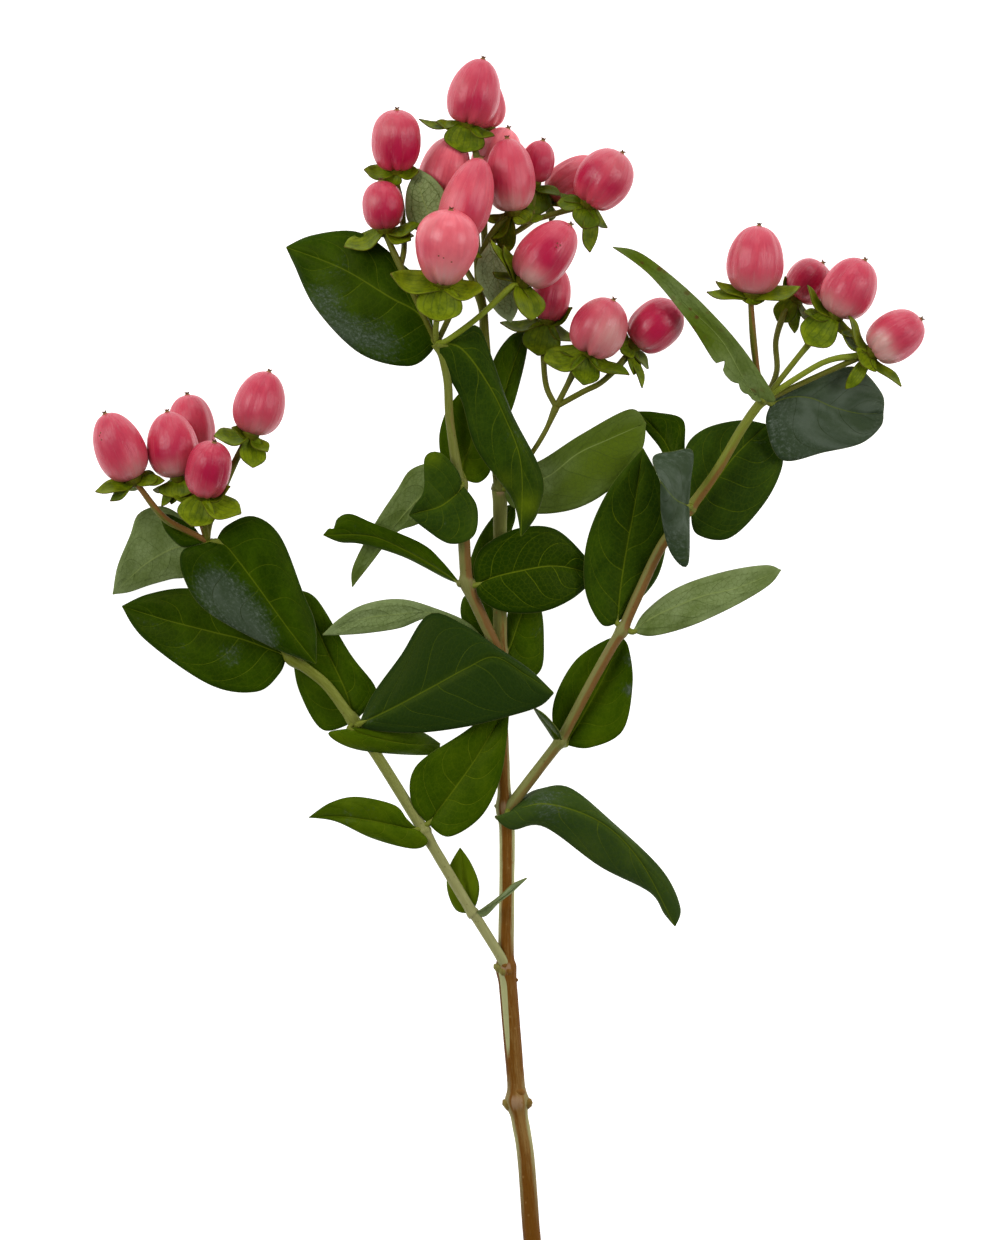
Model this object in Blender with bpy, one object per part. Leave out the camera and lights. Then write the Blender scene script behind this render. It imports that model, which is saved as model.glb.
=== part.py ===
"""A cut stem of hypericum berries, lying down and seen from above.

Five woody and green stems carry twenty-five berries, each on a stalk with five
sepals, and pairs of opposite leaves. Lengths are in metres. X runs to the right
and Y up the stem as it is seen from above, and +Z points away from the surface
that the stem lies on.

A place on the stem is written as (across, down, height): across and down are
pixels of the reference view, which VIEW_PIXEL turns into metres, and height is
in millimetres above the surface.
"""
import math
import random

import bmesh
import bpy
from mathutils import Vector
from mathutils.bvhtree import BVHTree

MM = 0.001
VIEW_PIXEL = 0.25 * MM           # four pixels of the view are one millimetre
VIEW_CENTRE = (508.0, 669.0)     # the pixel over the part's origin

LEAF_THICKNESS = 0.6 * MM
LEAF_NECK = 1.0 * MM             # how far from its base point a leaf begins
LEAF_POINT = 0.8 * MM            # how far from its tip point a leaf ends
LEAF_END_SHARE = 0.4             # and at most this share of the way to its next row
LEAF_BROAD = 4.0 * MM            # where its half is narrower than this, it arches less
SLOPE_LIMIT = 0.7                # how far a steep place is thickened, as a cosine
CURVE_STEPS = 12                 # short lines that a curve is measured with, a span
GAP = 0.3 * MM                   # air between neighbouring pieces
WELD = 0.002 * MM                # points nearer than this are made one
FLAT_ANGLE = math.radians(2.0)   # faces that differ less count as one plane

BERRY_SIDES = 12
BERRY_RINGS = 5
BERRY_EGG = 0.10                 # how much fuller a berry is near its stalk
BERRY_LOBES = 3
GROOVE_DEPTH = 0.035             # of the berry's radius, between two lobes
GROOVE_WIDTH = 0.35              # in radians
GROOVE_EVEN = 0.6                # the part of its depth that is alike from end to end
STYLE_LENGTH = 0.9 * MM          # the dry point left at the berry's tip
STYLE_RADIUS = 0.55 * MM
STYLE_SINK = 0.1 * MM            # how far the style's foot lies below the tip

CUP_HEIGHT = 2.0 * MM            # the green cup that the sepals grow from
CUP_RADIUS = 2.3 * MM
CUP_FLARE = 1.2                  # how much wider than its stalk a cup begins
SEPALS_A_BERRY = 5
SEPAL_THICKNESS = 0.7 * MM
SEPAL_SHAPE = ((0.0, 0.45), (0.45, 1.0), (1.0, 0.16))   # along a sepal, width there
SEPAL_ARCH = 0.12                # how far a sepal bows away from its berry
SEPAL_TURN = 0.6                 # how far its face turns to the viewer
SEPAL_LEVEL = 1.0 * MM           # how far below the stalk's end it grows
SEPAL_ROOT = 0.8 * MM            # and how far from the stalk's middle
HIDDEN_SEPAL_LENGTH = 7.0 * MM
HIDDEN_SEPAL_WIDTH = 4.5 * MM
HIDDEN_SEPAL_SHARES = (1.0, 0.8, 0.6, 0.45)   # of that length, tried in turn
HIDDEN_SEPAL_ANGLE = math.radians(70.0)       # of the circle, for each of them
HIDDEN_SEPAL_STRAY = 0.15        # how far it strays from its place, in radians
HIDDEN_SEPAL_DROOP = 0.35        # how far it may hang back along the stalk
LOWEST_SEPAL = 1.8 * MM          # the height that hidden sepals stay above
SEED = 7

STEM_SIDES = 8
CUP_SIDES = 6
STALK_SIDES = 5
STALK_RADIUS = 0.75 * MM

LEAF_ROWS = (0.0, 0.1, 0.28, 0.5, 0.72, 0.9, 1.0)
LEAF_COLUMNS = (-1.0, -0.5, 0.0, 0.5, 1.0)
LEAFLET_ROWS = (0.0, 0.2, 0.5, 0.8, 1.0)
LEAFLET_COLUMNS = (-1.0, 0.0, 1.0)

SEEN = Vector((0.0, 0.0, 1.0))   # the way from the part to the viewer
UPRIGHT = 0.1                    # an axis is upright if it leans less, as a sine

ROUGHNESS = 0.4
COLOURS = {
    "berry": (0.62, 0.11, 0.16, 1.0),
    "leaf": (0.035, 0.10, 0.015, 1.0),
    "shoot": (0.20, 0.24, 0.05, 1.0),
    "stem": (0.24, 0.15, 0.06, 1.0),
}


# Stems: (across, down, height, radius in mm), from the cut end or the fork up

STEMS = {
    "main_stem": [
        (537, 1280, 2.25, 2.2), (532, 1240, 2.9, 2.15), (526, 1160, 4.5, 2.1),
        (520, 1122, 5.2, 2.1), (517, 1103, 5.7, 3.0), (516, 1084, 6.1, 2.15),
        (511.5, 1030, 7.1, 2.2), (508, 987, 7.9, 2.25), (506, 968, 8.3, 2.6),
        (506, 950, 8.6, 1.95), (507, 876, 10.2, 1.85), (507, 830, 11.2, 1.9),
        (505, 808, 11.7, 2.3), (504, 785, 12.3, 1.6), (501, 717, 14.2, 1.65),
        (500, 668, 15.5, 1.75), (500, 652, 15.9, 2.0), (500, 634, 16.4, 1.7),
        (500, 538, 19.4, 1.65), (500, 505, 20.5, 1.75), (500, 491, 21.0, 2.0)],
    "left_shoot": [
        (505, 966, 9.5, 1.3), (496, 950, 11.0, 1.25), (477, 919.5, 12.4, 1.25),
        (473, 914, 12.6, 1.6), (466, 903, 13.0, 1.3), (437, 854, 14.0, 1.3),
        (427, 837, 14.3, 1.5), (424, 831, 14.3, 1.8), (417, 820, 14.4, 1.4),
        (377, 756, 15.0, 1.35), (354, 722, 15.3, 1.7), (345, 710, 15.3, 1.3),
        (326, 685, 15.0, 1.25), (305, 668, 14.8, 1.25), (291, 659, 14.6, 1.6),
        (282, 646, 14.8, 1.1), (250, 600, 15.6, 1.05), (214, 551, 16.8, 1.05),
        (207, 541, 17.0, 1.5)],
    "centre_shoot": [
        (499.5, 656, 16.8, 1.4), (495, 645, 19.2, 1.4), (475, 602, 22.3, 1.45),
        (467, 583, 23.4, 1.9), (466, 572, 23.9, 1.5), (464.5, 550, 25.3, 1.5),
        (462, 500, 27.6, 1.45), (461, 484, 28.0, 1.8), (458, 474, 28.2, 1.3),
        (450, 422, 29.5, 1.05), (448, 384, 30.5, 1.05), (443, 358, 31.2, 1.05),
        (437, 344, 31.5, 1.5)],
    "top_shoot": [
        (499.3, 488.5, 21.3, 1.7), (498, 478, 21.6, 1.3), (492, 420, 22.0, 1.2),
        (485, 340, 22.0, 1.15), (483, 310, 21.5, 1.1), (478, 290, 21.0, 1.4)],
    "right_shoot": [
        (507, 812, 12.2, 1.45), (516, 799, 13.6, 1.4), (552, 752, 14.8, 1.35),
        (560, 742, 15.0, 1.7), (566, 731, 15.2, 1.3), (592, 682, 16.4, 1.3),
        (614, 643, 17.6, 1.3), (622, 631, 18.0, 1.7), (627, 620, 18.3, 1.3),
        (638, 595, 19.0, 1.3), (661, 547, 20.3, 1.25), (685, 515, 21.0, 1.3),
        (690, 508, 21.1, 1.7), (696, 500, 21.2, 1.3), (718, 469, 21.4, 1.2),
        (741, 430, 21.5, 1.15), (757, 407, 21.5, 1.15), (766, 398, 21.5, 1.6)],
}

# Side stalks that fork before they reach their berries, or lie beside another

FORKS = {
    "top_shoot": [
        [(499.5, 488, 21.5, 0.9), (518, 470, 24.5, 0.75), (532, 453, 25.5, 0.65),
         (546, 430, 25.5, 0.65), (556, 407, 25.3, 1.0)],
        [(480, 268, 21.8, 0.8), (488, 247, 21.3, 0.75), (497, 240, 20.2, 0.7),
         (516, 232, 18.6, 0.7), (532, 220, 17.0, 0.9)]],
    "right_shoot": [
        [(768, 399, 21.0, 0.8), (798, 385, 19.2, 0.7), (824, 373, 18.2, 0.7),
         (858, 358, 17.8, 0.8)]],
}

# Berries: the stalk's end, the tip, the width in mm, the stem that carries the
# stalk, the stalk's route from that stem, and the sepals whose tips are seen, as
# (across, down, height above the stalk's end in mm, width in mm).


class Berry:
    def __init__(self, shoot, base, tip, width, stalk, sepals=()):
        self.shoot = shoot
        self.base = at(*base)
        self.tip = at(*tip)
        self.radius = width * MM / 2.0
        self.stalk = [at(*point) for point in stalk]
        self.sepals = sepals
        self.base_height = base[2]

    def axis(self):
        return (self.tip - self.base).normalized()


def at(across, down, height):
    """The place over one pixel of the view, at a height in millimetres."""
    x = (across - VIEW_CENTRE[0]) * VIEW_PIXEL
    y = (VIEW_CENTRE[1] - down) * VIEW_PIXEL
    return Vector((x, y, height * MM))


LEFT_FORK = (207, 541, 17.0)
CENTRE_FORK = (437, 344, 31.5)
UPPER_FORK = (478, 290, 21.0)
THREE_FORK = (556, 407, 25.3)
TWIG_FORK = (532, 220, 17.0)
RIGHT_FORK = (766, 398, 21.5)

BERRIES = {
    "left_berry_1": Berry(
        "left_shoot", (133, 479, 19.0), (105, 414, 21.0), 12.5,
        [LEFT_FORK, (190, 532, 18.0), (164, 518, 19.0), (140, 488, 19.0)],
        [(95, 490, 0.5, 4.5), (158, 478, 1.0, 5.0)]),
    "left_berry_2": Berry(
        "left_shoot", (178, 477, 17.5), (167, 412, 18.0), 13.0,
        [LEFT_FORK, (198, 515, 16.5), (186, 494, 17.0)],
        [(178, 498, 3.0, 7.5), (161, 506, 1.0, 2.5), (171, 504, 0.5, 2.5)]),
    "left_berry_3": Berry(
        "left_shoot", (194, 455, 6.04), (186, 394, 5.84), 11.8,
        [LEFT_FORK, (203, 510, 12.0), (198, 475, 7.4)]),
    "left_berry_4": Berry(
        "left_shoot", (203, 495, 22.0), (215, 443, 27.0), 11.4,
        [LEFT_FORK, (205, 524, 19.0), (204, 505, 21.0)],
        [(192, 527, 3.0, 7.5), (241, 515, 2.0, 7.0), (231, 487, 1.0, 3.5)]),
    "left_berry_5": Berry(
        "left_shoot", (251, 434, 20.0), (269, 372, 20.5), 12.8,
        [LEFT_FORK, (211, 519, 18.0), (231, 471, 19.5), (245, 442, 20.0)],
        [(214, 437, 1.5, 6.0), (253, 468, 2.0, 5.5), (268, 452, 1.5, 4.0),
         (232, 427, 1.5, 3.0)]),
    "centre_berry_01": Berry(
        "top_shoot", (467, 123, 19.0), (483, 59, 20.0), 13.0,
        [UPPER_FORK, (476, 240, 21.5), (477, 200, 21.5), (478, 165, 21.0),
         (471, 136, 19.5)],
        [(419, 120, 1.0, 3.0), (462, 153, 3.0, 8.0)]),
    "centre_berry_02": Berry(
        "top_shoot", (487, 127, 5.85), (478, 69, 5.55), 11.3,
        [UPPER_FORK, (478, 250, 12.0), (474, 210, 5.6), (473, 170, 4.1),
         (483, 138, 5.0)]),
    "centre_berry_03": Berry(
        "centre_shoot", (396, 170, 24.0), (397, 111, 27.0), 12.3,
        [(401, 267, 30.4), (404, 252, 27.6), (404, 236, 23.0), (401, 205, 21.0),
         (396, 180, 23.3)],
        [(364, 171, 1.0, 5.0), (419, 173, 1.0, 4.5), (390, 187, 2.0, 4.0)]),
    "centre_berry_04": Berry(
        "centre_shoot", (385, 230, 27.0), (381, 182, 28.0), 10.4,
        [CENTRE_FORK, (420, 309, 33.0), (408, 283, 32.0), (398, 262, 30.2),
         (387, 238, 27.8)],
        [(345, 249, 1.0, 6.0), (411, 242, 1.5, 5.5), (421, 226, 0.5, 4.0)]),
    "centre_berry_05": Berry(
        "top_shoot", (438, 198, 16.5), (454, 137, 17.5), 13.0,
        [UPPER_FORK, (462, 262, 17.5), (446, 225, 15.5), (438, 206, 16.2)]),
    "centre_berry_06": Berry(
        "top_shoot", (487, 185, 10.0), (508, 127, 10.5), 12.5,
        [UPPER_FORK, (484, 255, 15.3), (484, 215, 10.6), (485, 193, 9.9)]),
    "centre_berry_07": Berry(
        "top_shoot", (513, 212, 22.0), (507, 139, 22.8), 12.4,
        [UPPER_FORK, (480, 262, 21.8), (486, 243, 22.0), (498, 226, 22.0),
         (508, 217, 22.0)],
        [(530, 222, 2.0, 5.5), (503, 256, 0.0, 4.0), (492, 240, 0.0, 4.0)]),
    "centre_berry_08": Berry(
        "centre_shoot", (456, 240, 31.9), (481, 160, 31.4), 13.0,
        [CENTRE_FORK, (447, 323, 30.2), (458, 298, 29.5), (460, 268, 29.7),
         (457, 248, 30.7)]),
    "centre_berry_09": Berry(
        "centre_shoot", (443, 286, 40.0), (451, 213, 44.0), 16.0,
        [CENTRE_FORK, (436, 330, 33.5), (439, 306, 37.5), (442, 293, 39.5)],
        [(391, 277, 2.0, 7.5), (437, 324, 4.0, 9.0), (484, 293, 2.0, 6.5)]),
    "centre_berry_10": Berry(
        "top_shoot", (533, 181, 13.9), (543, 140, 14.4), 8.5,
        [TWIG_FORK, (533, 203, 15.2), (533, 190, 14.3)],
        [(538, 215, 2.0, 6.0), (530, 221, 1.0, 4.5)]),
    "centre_berry_11": Berry(
        "top_shoot", (549, 194, 5.65), (599, 160, 5.25), 10.8,
        [TWIG_FORK, (538, 210, 10.6), (544, 199, 6.3)],
        [(575, 207, 1.5, 3.5)]),
    "centre_berry_12": Berry(
        "top_shoot", (588, 203, 19.0), (622, 153, 20.0), 14.0,
        [TWIG_FORK, (560, 212, 17.5), (578, 207, 18.6)],
        [(583, 228, 3.0, 6.0), (591, 252, 1.0, 4.0), (557, 203, 1.0, 5.0)]),
    "centre_berry_13": Berry(
        "centre_shoot", (523, 282, 30.0), (570, 226, 31.0), 13.5,
        [CENTRE_FORK, (448, 341, 34.0), (479, 318, 34.4), (508, 291, 32.0),
         (517, 286, 30.5)],
        [(532, 321, 3.0, 8.0), (492, 239, 2.0, 3.0), (505, 246, 1.0, 3.5)]),
    "centre_berry_14": Berry(
        "top_shoot", (547, 321, 18.5), (556, 266, 18.0), 10.0,
        [THREE_FORK, (547, 389, 24.0), (544, 368, 21.5), (544, 345, 19.5),
         (546, 329, 18.7)],
        [(500, 324, 1.0, 4.5), (538, 356, 3.0, 7.5), (571, 342, 1.5, 4.5),
         (573, 308, 0.5, 3.5)]),
    "centre_berry_15": Berry(
        "top_shoot", (588, 352, 26.0), (613, 301, 29.0), 14.0,
        [THREE_FORK, (566, 388, 25.5), (575, 370, 25.6), (584, 357, 25.8)],
        [(543, 363, 2.0, 7.0), (583, 386, 3.0, 6.0), (629, 376, 1.0, 4.0)]),
    "centre_berry_16": Berry(
        "top_shoot", (635, 344, 21.0), (678, 306, 22.0), 12.5,
        [THREE_FORK, (583, 392, 24.5), (602, 382, 23.5), (622, 362, 22.0),
         (630, 350, 21.2)],
        [(621, 353, 2.0, 4.5), (634, 375, 1.0, 3.5), (643, 388, 0.0, 2.5)]),
    "right_berry_1": Berry(
        "right_shoot", (752, 294, 20.0), (759, 226, 21.0), 14.2,
        [RIGHT_FORK, (758, 375, 21.5), (753.6, 343, 20.5), (751, 305, 20.0)],
        [(707, 291, 1.0, 4.0), (716, 281, 0.0, 3.5), (800, 287, 1.5, 5.5),
         (756, 305, 2.0, 4.0)]),
    "right_berry_2": Berry(
        "right_shoot", (797, 297, 5.95), (824, 262, 5.65), 11.5,
        [RIGHT_FORK, (777, 371, 17.0), (776.5, 340, 12.0), (785, 313, 7.6),
         (792, 303, 6.0)],
        [(786, 275, 1.0, 3.0), (778, 320, 2.5, 4.5), (795, 332, 1.0, 3.0)]),
    "right_berry_3": Berry(
        "right_shoot", (836, 315, 16.0), (865, 260, 17.5), 13.5,
        [RIGHT_FORK, (795, 361, 18.5), (815, 337, 16.5), (829, 322, 16.0)],
        [(806, 345, 3.0, 7.5), (806, 286, 3.0, 3.5)]),
    "right_berry_4": Berry(
        "right_shoot", (873, 352, 17.5), (921, 319, 18.5), 12.5,
        [RIGHT_FORK, (822, 363, 19.5), (855, 356, 18.2), (866, 354, 17.7)],
        [(840, 331, 0.5, 4.5), (848, 316, 3.0, 3.5), (861, 365, 3.0, 6.0),
         (902, 386, 1.0, 3.5), (846, 389, 1.0, 3.0)]),
}


# Leaves: base and tip with heights, the midrib's points between them, and the
# points of the left and right margins as seen from the base. A margin's third
# number is how far it stands above the midrib, in mm; without one it is lift.


class Leaf:
    def __init__(self, base, tip, rib, left, right, lift=(0.0, 0.0), camber=0.5):
        self.base = at(*base)
        self.tip = at(*tip)
        self.rib = [self.base] + [at(*point) for point in rib] + [self.tip]
        self.left = self.margin(left, lift[0])
        self.right = self.margin(right, lift[1])
        self.camber = camber * MM

    def margin(self, points, lift):
        """The margin's points, with Z holding the lift over the midrib."""
        path = []
        for point in points:
            rise = point[2] if len(point) > 2 else lift
            path.append(at(point[0], point[1], rise))
        return [flat(self.base)] + path + [flat(self.tip)]


def flat(point):
    return Vector((point.x, point.y, 0.0))


LEAVES = {
    "left_leaf_01": Leaf(
        (216, 541, 19.0), (316, 664, 17.6),
        [(227, 547, 19.2), (240, 563, 19.4), (258, 587, 19.0), (289, 630, 18.6)],
        [(226, 526), (253, 516), (280, 536), (303, 593), (315, 624)],
        [(199, 545), (181, 552), (183, 577), (206, 611), (269, 646)],
        lift=(-2.0, -1.5)),
    "left_leaf_02": Leaf(
        (286, 656, 13.0), (120, 606, 4.5),
        [(244, 640, 12.4), (216, 633, 11.4), (165, 620, 8.5)],
        [(279, 674), (256, 692), (209, 685), (144, 640)],
        [(272, 628), (232, 596), (186, 588), (147, 594)],
        lift=(0.5, 0.5)),
    "left_leaf_03": Leaf(
        (204, 543, 15.0), (111, 594, 2.5),
        [(176, 547, 13.0), (150, 560, 9.5), (130, 576, 5.5)],
        [(190, 574), (170, 579), (148, 585), (127, 592)],
        [(186, 520), (162, 506), (138, 513), (129, 535), (116, 566)],
        lift=(-0.5, 1.0)),
    "left_leaf_04": Leaf(
        (354, 722, 13.0), (297, 590, 8.0),
        [(345, 691, 12.0), (328, 654, 11.0), (310, 615, 9.5)],
        [(322, 730), (299, 692), (292, 655), (288, 615)],
        [(374, 700), (374, 685), (350, 654), (317, 600)],
        lift=(0.0, 0.0)),
    "left_leaf_05": Leaf(
        (359, 724, 19.2), (554, 693, 22.0),
        [(391, 709, 20.2), (434, 686, 22.0), (467, 668, 23.8), (495, 657, 24.4),
         (526, 675, 23.4)],
        [(373, 694), (401, 655), (429, 614), (463, 624), (497, 647, -1.5), (529, 669, -1.0)],
        [(371, 730), (415, 733), (465, 727), (510, 716), (540, 706)],
        lift=(-1.5, -1.0)),
    "left_leaf_06": Leaf(
        (349, 729, 17.5), (440, 744, 8.5),
        [(375, 738, 17.8), (412, 745, 14.5)],
        [(360, 727, 0.0), (384, 730, 0.0), (418, 731)],
        [(328, 733), (343, 745), (372, 752), (431, 755)],
        lift=(-1.0, 0.0)),
    "left_leaf_07": Leaf(
        (428, 824, 15.0), (510, 699, 17.6),
        [(441, 807, 15.6), (456, 787, 16.4), (480, 752, 17.4)],
        [(411, 802), (416, 766), (464, 732), (494, 710)],
        [(449, 837), (481, 817), (500, 780), (507, 738)],
        lift=(0.3, 1.2)),
    "left_leaf_08": Leaf(
        (418, 830, 15.2), (308, 818, 9.0),
        [(395, 826, 15.0), (370, 821, 14.0), (338, 817, 11.5)],
        [(428, 842, 1.6), (413, 849), (373, 839), (336, 822)],
        [(407, 819), (394, 805), (357, 797), (330, 803)],
        lift=(0.5, 1.0)),
    "centre_leaf_01": Leaf(
        (493, 652, 19.0), (322, 635, 15.0),
        [(455, 626, 17.8), (430, 613, 17.5), (400, 614, 17.3), (362, 619, 16.8)],
        [(476, 646), (454, 633), (430, 618), (400, 628), (368, 633), (340, 635)],
        [(470, 624), (435, 608), (400, 599), (365, 604), (340, 618)],
        lift=(0.0, 0.5)),
    "centre_leaf_02": Leaf(
        (461, 584, 22.8), (323, 535, 19.5),
        [(440, 570, 22.4), (405, 550, 22.0), (370, 536, 21.2)],
        [(445, 578), (404, 557), (362, 544), (340, 542)],
        [(442, 561), (421, 543), (373, 523), (345, 514)],
        lift=(-1.5, 1.0)),
    "centre_leaf_03": Leaf(
        (476, 585, 24.2), (597, 577, 15.0),
        [(495, 577, 24.2), (520, 571, 23.2), (550, 566, 20.8), (575, 569, 17.8)],
        [(474, 565), (485, 545), (519, 528), (555, 529), (585, 556)],
        [(481, 600), (505, 612), (541, 612), (572, 599)],
        lift=(0.5, 0.5)),
    "centre_leaf_04": Leaf(
        (462, 485, 29.8), (409, 515, 31.5),
        [(456, 495, 30.4), (440, 507, 31.4), (422, 512, 32.0)],
        [(477, 507), (474, 536), (450, 544), (424, 528)],
        [(457, 470), (440, 453), (425, 458), (424, 490), (415, 505)],
        lift=(-0.6, 1.5)),
    "centre_leaf_05": Leaf(
        (459, 487, 27.2), (352, 587, 12.0),
        [(433, 489, 25.0), (410, 508, 21.5), (388, 536, 18.0), (368, 563, 14.5)],
        [(440, 514), (416, 525), (395, 534), (368, 567)],
        [(440, 464), (412, 469), (397, 490), (374, 525), (353, 566)],
        lift=(0.5, -0.5)),
    "centre_leaf_06": Leaf(
        (464, 480, 26.3), (470, 385, 24.5),
        [(463, 464, 26.0), (471, 443, 25.8), (474, 415, 25.2)],
        [(445, 468), (439, 440), (445, 414), (457, 396)],
        [(479, 483), (491, 470), (494, 440), (485, 404)],
        lift=(0.0, 0.0), camber=0.0),
    "centre_leaf_07": Leaf(
        (441, 346, 33.0), (521, 537, 28.5),
        [(461, 349, 32.6), (486, 381, 32.0), (505, 418, 31.6), (521, 465, 30.6)],
        [(462, 333, -2.6), (478, 327, -2.8), (491, 356), (511, 412), (542, 475),
         (538, 512)],
        [(440, 362), (461, 400), (476, 449), (512, 500)],
        lift=(-1.5, -1.5)),
    "centre_leaf_08": Leaf(
        (494, 436, 24.4), (527, 330, 15.0),
        [(501, 405, 24.2), (509, 378, 22.8), (518, 352, 18.6)],
        [(486, 402), (493, 362), (510, 336)],
        [(510, 414), (520, 382), (527, 350)],
        lift=(0.0, 0.0)),
    "centre_leaf_09": Leaf(
        (434, 341, 30.6), (286, 247, 20.0),
        [(418, 314, 30.6), (390, 298, 29.5), (342, 269, 25.5)],
        [(431, 353), (408, 367), (360, 354), (316, 309), (294, 264)],
        [(427, 292, -2.5), (400, 262, -3.0), (370, 238), (347, 231), (310, 236)],
        lift=(-1.5, -1.0)),
    "centre_leaf_10": Leaf(
        (440, 235, 26.0), (418, 169, 23.0),
        [(429, 214, 25.4), (421, 193, 24.4)],
        [(417, 231), (406.5, 217), (407, 190)],
        [(448, 221), (446, 196), (434, 179)],
        lift=(0.0, 0.3)),
    "centre_leaf_11": Leaf(
        (490, 243, 25.5), (511, 323, 25.0),
        [(494, 265, 25.6), (501, 292, 25.6)],
        [(500, 251), (511, 276), (518, 306)],
        [(477, 263), (478, 283), (496, 312)],
        lift=(0.0, 0.0)),
    "main_leaf_01": Leaf(
        (504, 489, 22.2), (646, 423, 17.0),
        [(545, 478, 21.5), (577, 454, 20.5), (607, 440, 19.2)],
        [(514, 474), (545, 458), (582, 434), (630, 409)],
        [(511, 506), (538, 514), (578, 508), (613, 487), (641, 452)],
        lift=(-0.3, 0.3)),
    "main_leaf_02": Leaf(
        (505, 655, 15.8), (530, 592, 12.0),
        [(511, 645, 15.2), (518, 624, 13.8)],
        [(507, 632), (508, 612), (516, 597)],
        [(522, 680), (541, 670), (544, 640), (541, 608)],
        lift=(-0.5, 0.0)),
    "main_leaf_03": Leaf(
        (508, 815, 15.2), (676, 928, 4.0),
        [(545, 804, 17.0), (600, 822, 15.0), (640, 861, 10.5)],
        [(524, 797, -4.6), (541, 789, -4.8), (570, 788, -2.0), (612, 822),
         (662, 870), (681, 908)],
        [(496, 818, 0.2), (512, 830), (544, 827), (600, 867), (650, 893), (665, 915)],
        lift=(-1.0, -1.0)),
    "right_leaf_01": Leaf(
        (566, 745, 13.0), (622, 637, 13.4),
        [(588, 707, 12.4), (605, 675, 12.6)],
        [(553, 724), (556, 695), (576, 660), (606, 640)],
        [(590, 748), (623, 731), (633, 684), (629, 648)],
        lift=(0.3, 0.8)),
    "right_leaf_02": Leaf(
        (617, 623, 18.0), (643, 448, 23.6),
        [(621, 584, 18.8), (628, 541, 20.2), (635, 504, 21.6)],
        [(601, 624), (585, 590), (587, 540), (609, 489)],
        [(634, 606, -2.4), (659, 574, -3.2), (668, 525, -1.5), (661, 484, -0.5)],
        lift=(1.0, -1.0)),
    "right_leaf_03": Leaf(
        (633, 632, 18.2), (782, 570, 8.0),
        [(656, 616, 17.6), (700, 597, 15.5), (738, 588, 12.0)],
        [(645, 612), (677, 588), (723, 572), (766, 565)],
        [(652, 636), (691, 626), (737, 605), (770, 585)],
        lift=(-1.0, 0.5)),
    "right_leaf_04": Leaf(
        (691, 513, 18.6), (768, 424, 13.5),
        [(704, 498, 17.6), (734, 457, 16.0)],
        [(686, 492, 0.0), (685, 450), (704, 429), (740, 420)],
        [(697, 534), (730, 538), (765, 503), (783, 465), (779, 440)],
        lift=(0.5, -1.5)),
    "right_leaf_05": Leaf(
        (688, 506, 24.0), (660, 483, 37.0),
        [(683, 504, 28.0), (674, 499, 33.0)],
        [(689, 521, 0.5), (687, 566), (670, 553), (661, 516)],
        [(690, 482, 0.5), (692, 451), (672, 452), (652, 458)],
        lift=(-3.0, -3.0)),
    "right_leaf_06": Leaf(
        (684, 499, 18.6), (638, 411, 12.6),
        [(676, 470, 15.6), (664, 440, 13.6)],
        [(669, 478), (662, 451), (645, 428)],
        [(685, 474), (685, 446), (683, 419), (657, 412)],
        lift=(0.0, 0.0)),
    "right_leaf_07": Leaf(
        (764, 401, 23.6), (612, 248, 30.5),
        [(748, 388, 24.6), (722, 342, 27.0), (690, 310, 29.4), (650, 272, 30.5)],
        [(750, 399), (718, 368), (690, 326), (650, 277)],
        [(775, 399), (752, 362), (722, 325), (682, 286), (640, 254)],
        lift=(1.0, 0.0)),
    "right_leaf_08": Leaf(
        (771, 404, 20.0), (885, 412, 5.5),
        [(791, 397, 18.6), (812, 398, 16.5), (835, 407, 13.0), (862, 413, 8.5)],
        [(783, 394), (820, 377), (856, 366), (883, 392)],
        [(766, 425), (782, 460), (825, 452), (862, 443), (882, 426)],
        lift=(-0.5, 0.5)),
}

# Small leaves at the forks, each grown into the stem that bears it

LEAFLETS = {
    "left_shoot": [
        Leaf((471, 914, 12.0), (460, 848, 9.5), [(464, 880, 10.0)],
             [(456, 911), (447, 890), (449, 868)],
             [(477, 903), (479, 885), (471, 864)]),
        Leaf((474.5, 914.5, 13.0), (527, 878, 15.0), [(500, 899, 15.0)],
             [(484, 908, 2.0), (502, 894, 3.5), (513, 884, 2.0)],
             [(485, 917, -0.8), (499, 903, -0.8), (512, 893, -0.5)]),
        Leaf((204, 542, 16.8), (160, 517, 16.0), [(180, 531, 16.7)],
             [(188, 547), (178, 545), (165, 531)],
             [(193, 526), (180, 519), (168, 514)])],
    "right_shoot": [
        Leaf((562, 741, 15.8), (533, 707, 20.5), [(550, 727, 18.5)],
             [(556, 742, -2.0), (546, 728, -3.0), (538, 716, -2.0)],
             [(560, 733, 2.5), (552, 722, 3.5), (543, 713, 2.5)])],
    "centre_shoot": [
        Leaf((468, 583, 22.2), (514, 503, 12.5), [(488, 548, 15.2)],
             [(470, 561), (480, 535), (498, 511)],
             [(484, 579), (503, 548), (515, 520)])],
    "main_stem": [
        Leaf((499, 652, 15.2), (470, 592, 12.0), [(480, 622, 13.0)],
             [(480, 650), (462, 620), (462, 600)],
             [(497, 630), (492, 605), (480, 594)])],
}


# Curves and meshes


def curve_point(points, span, fraction):
    """A point on the smooth curve through the points, between two of them."""
    before = points[max(span - 1, 0)]
    start = points[span]
    end = points[span + 1]
    after = points[min(span + 2, len(points) - 1)]
    f = fraction
    return 0.5 * (2 * start + (end - before) * f
                  + (2 * before - 5 * start + 4 * end - after) * f * f
                  + (3 * start - before - 3 * end + after) * f * f * f)


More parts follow.
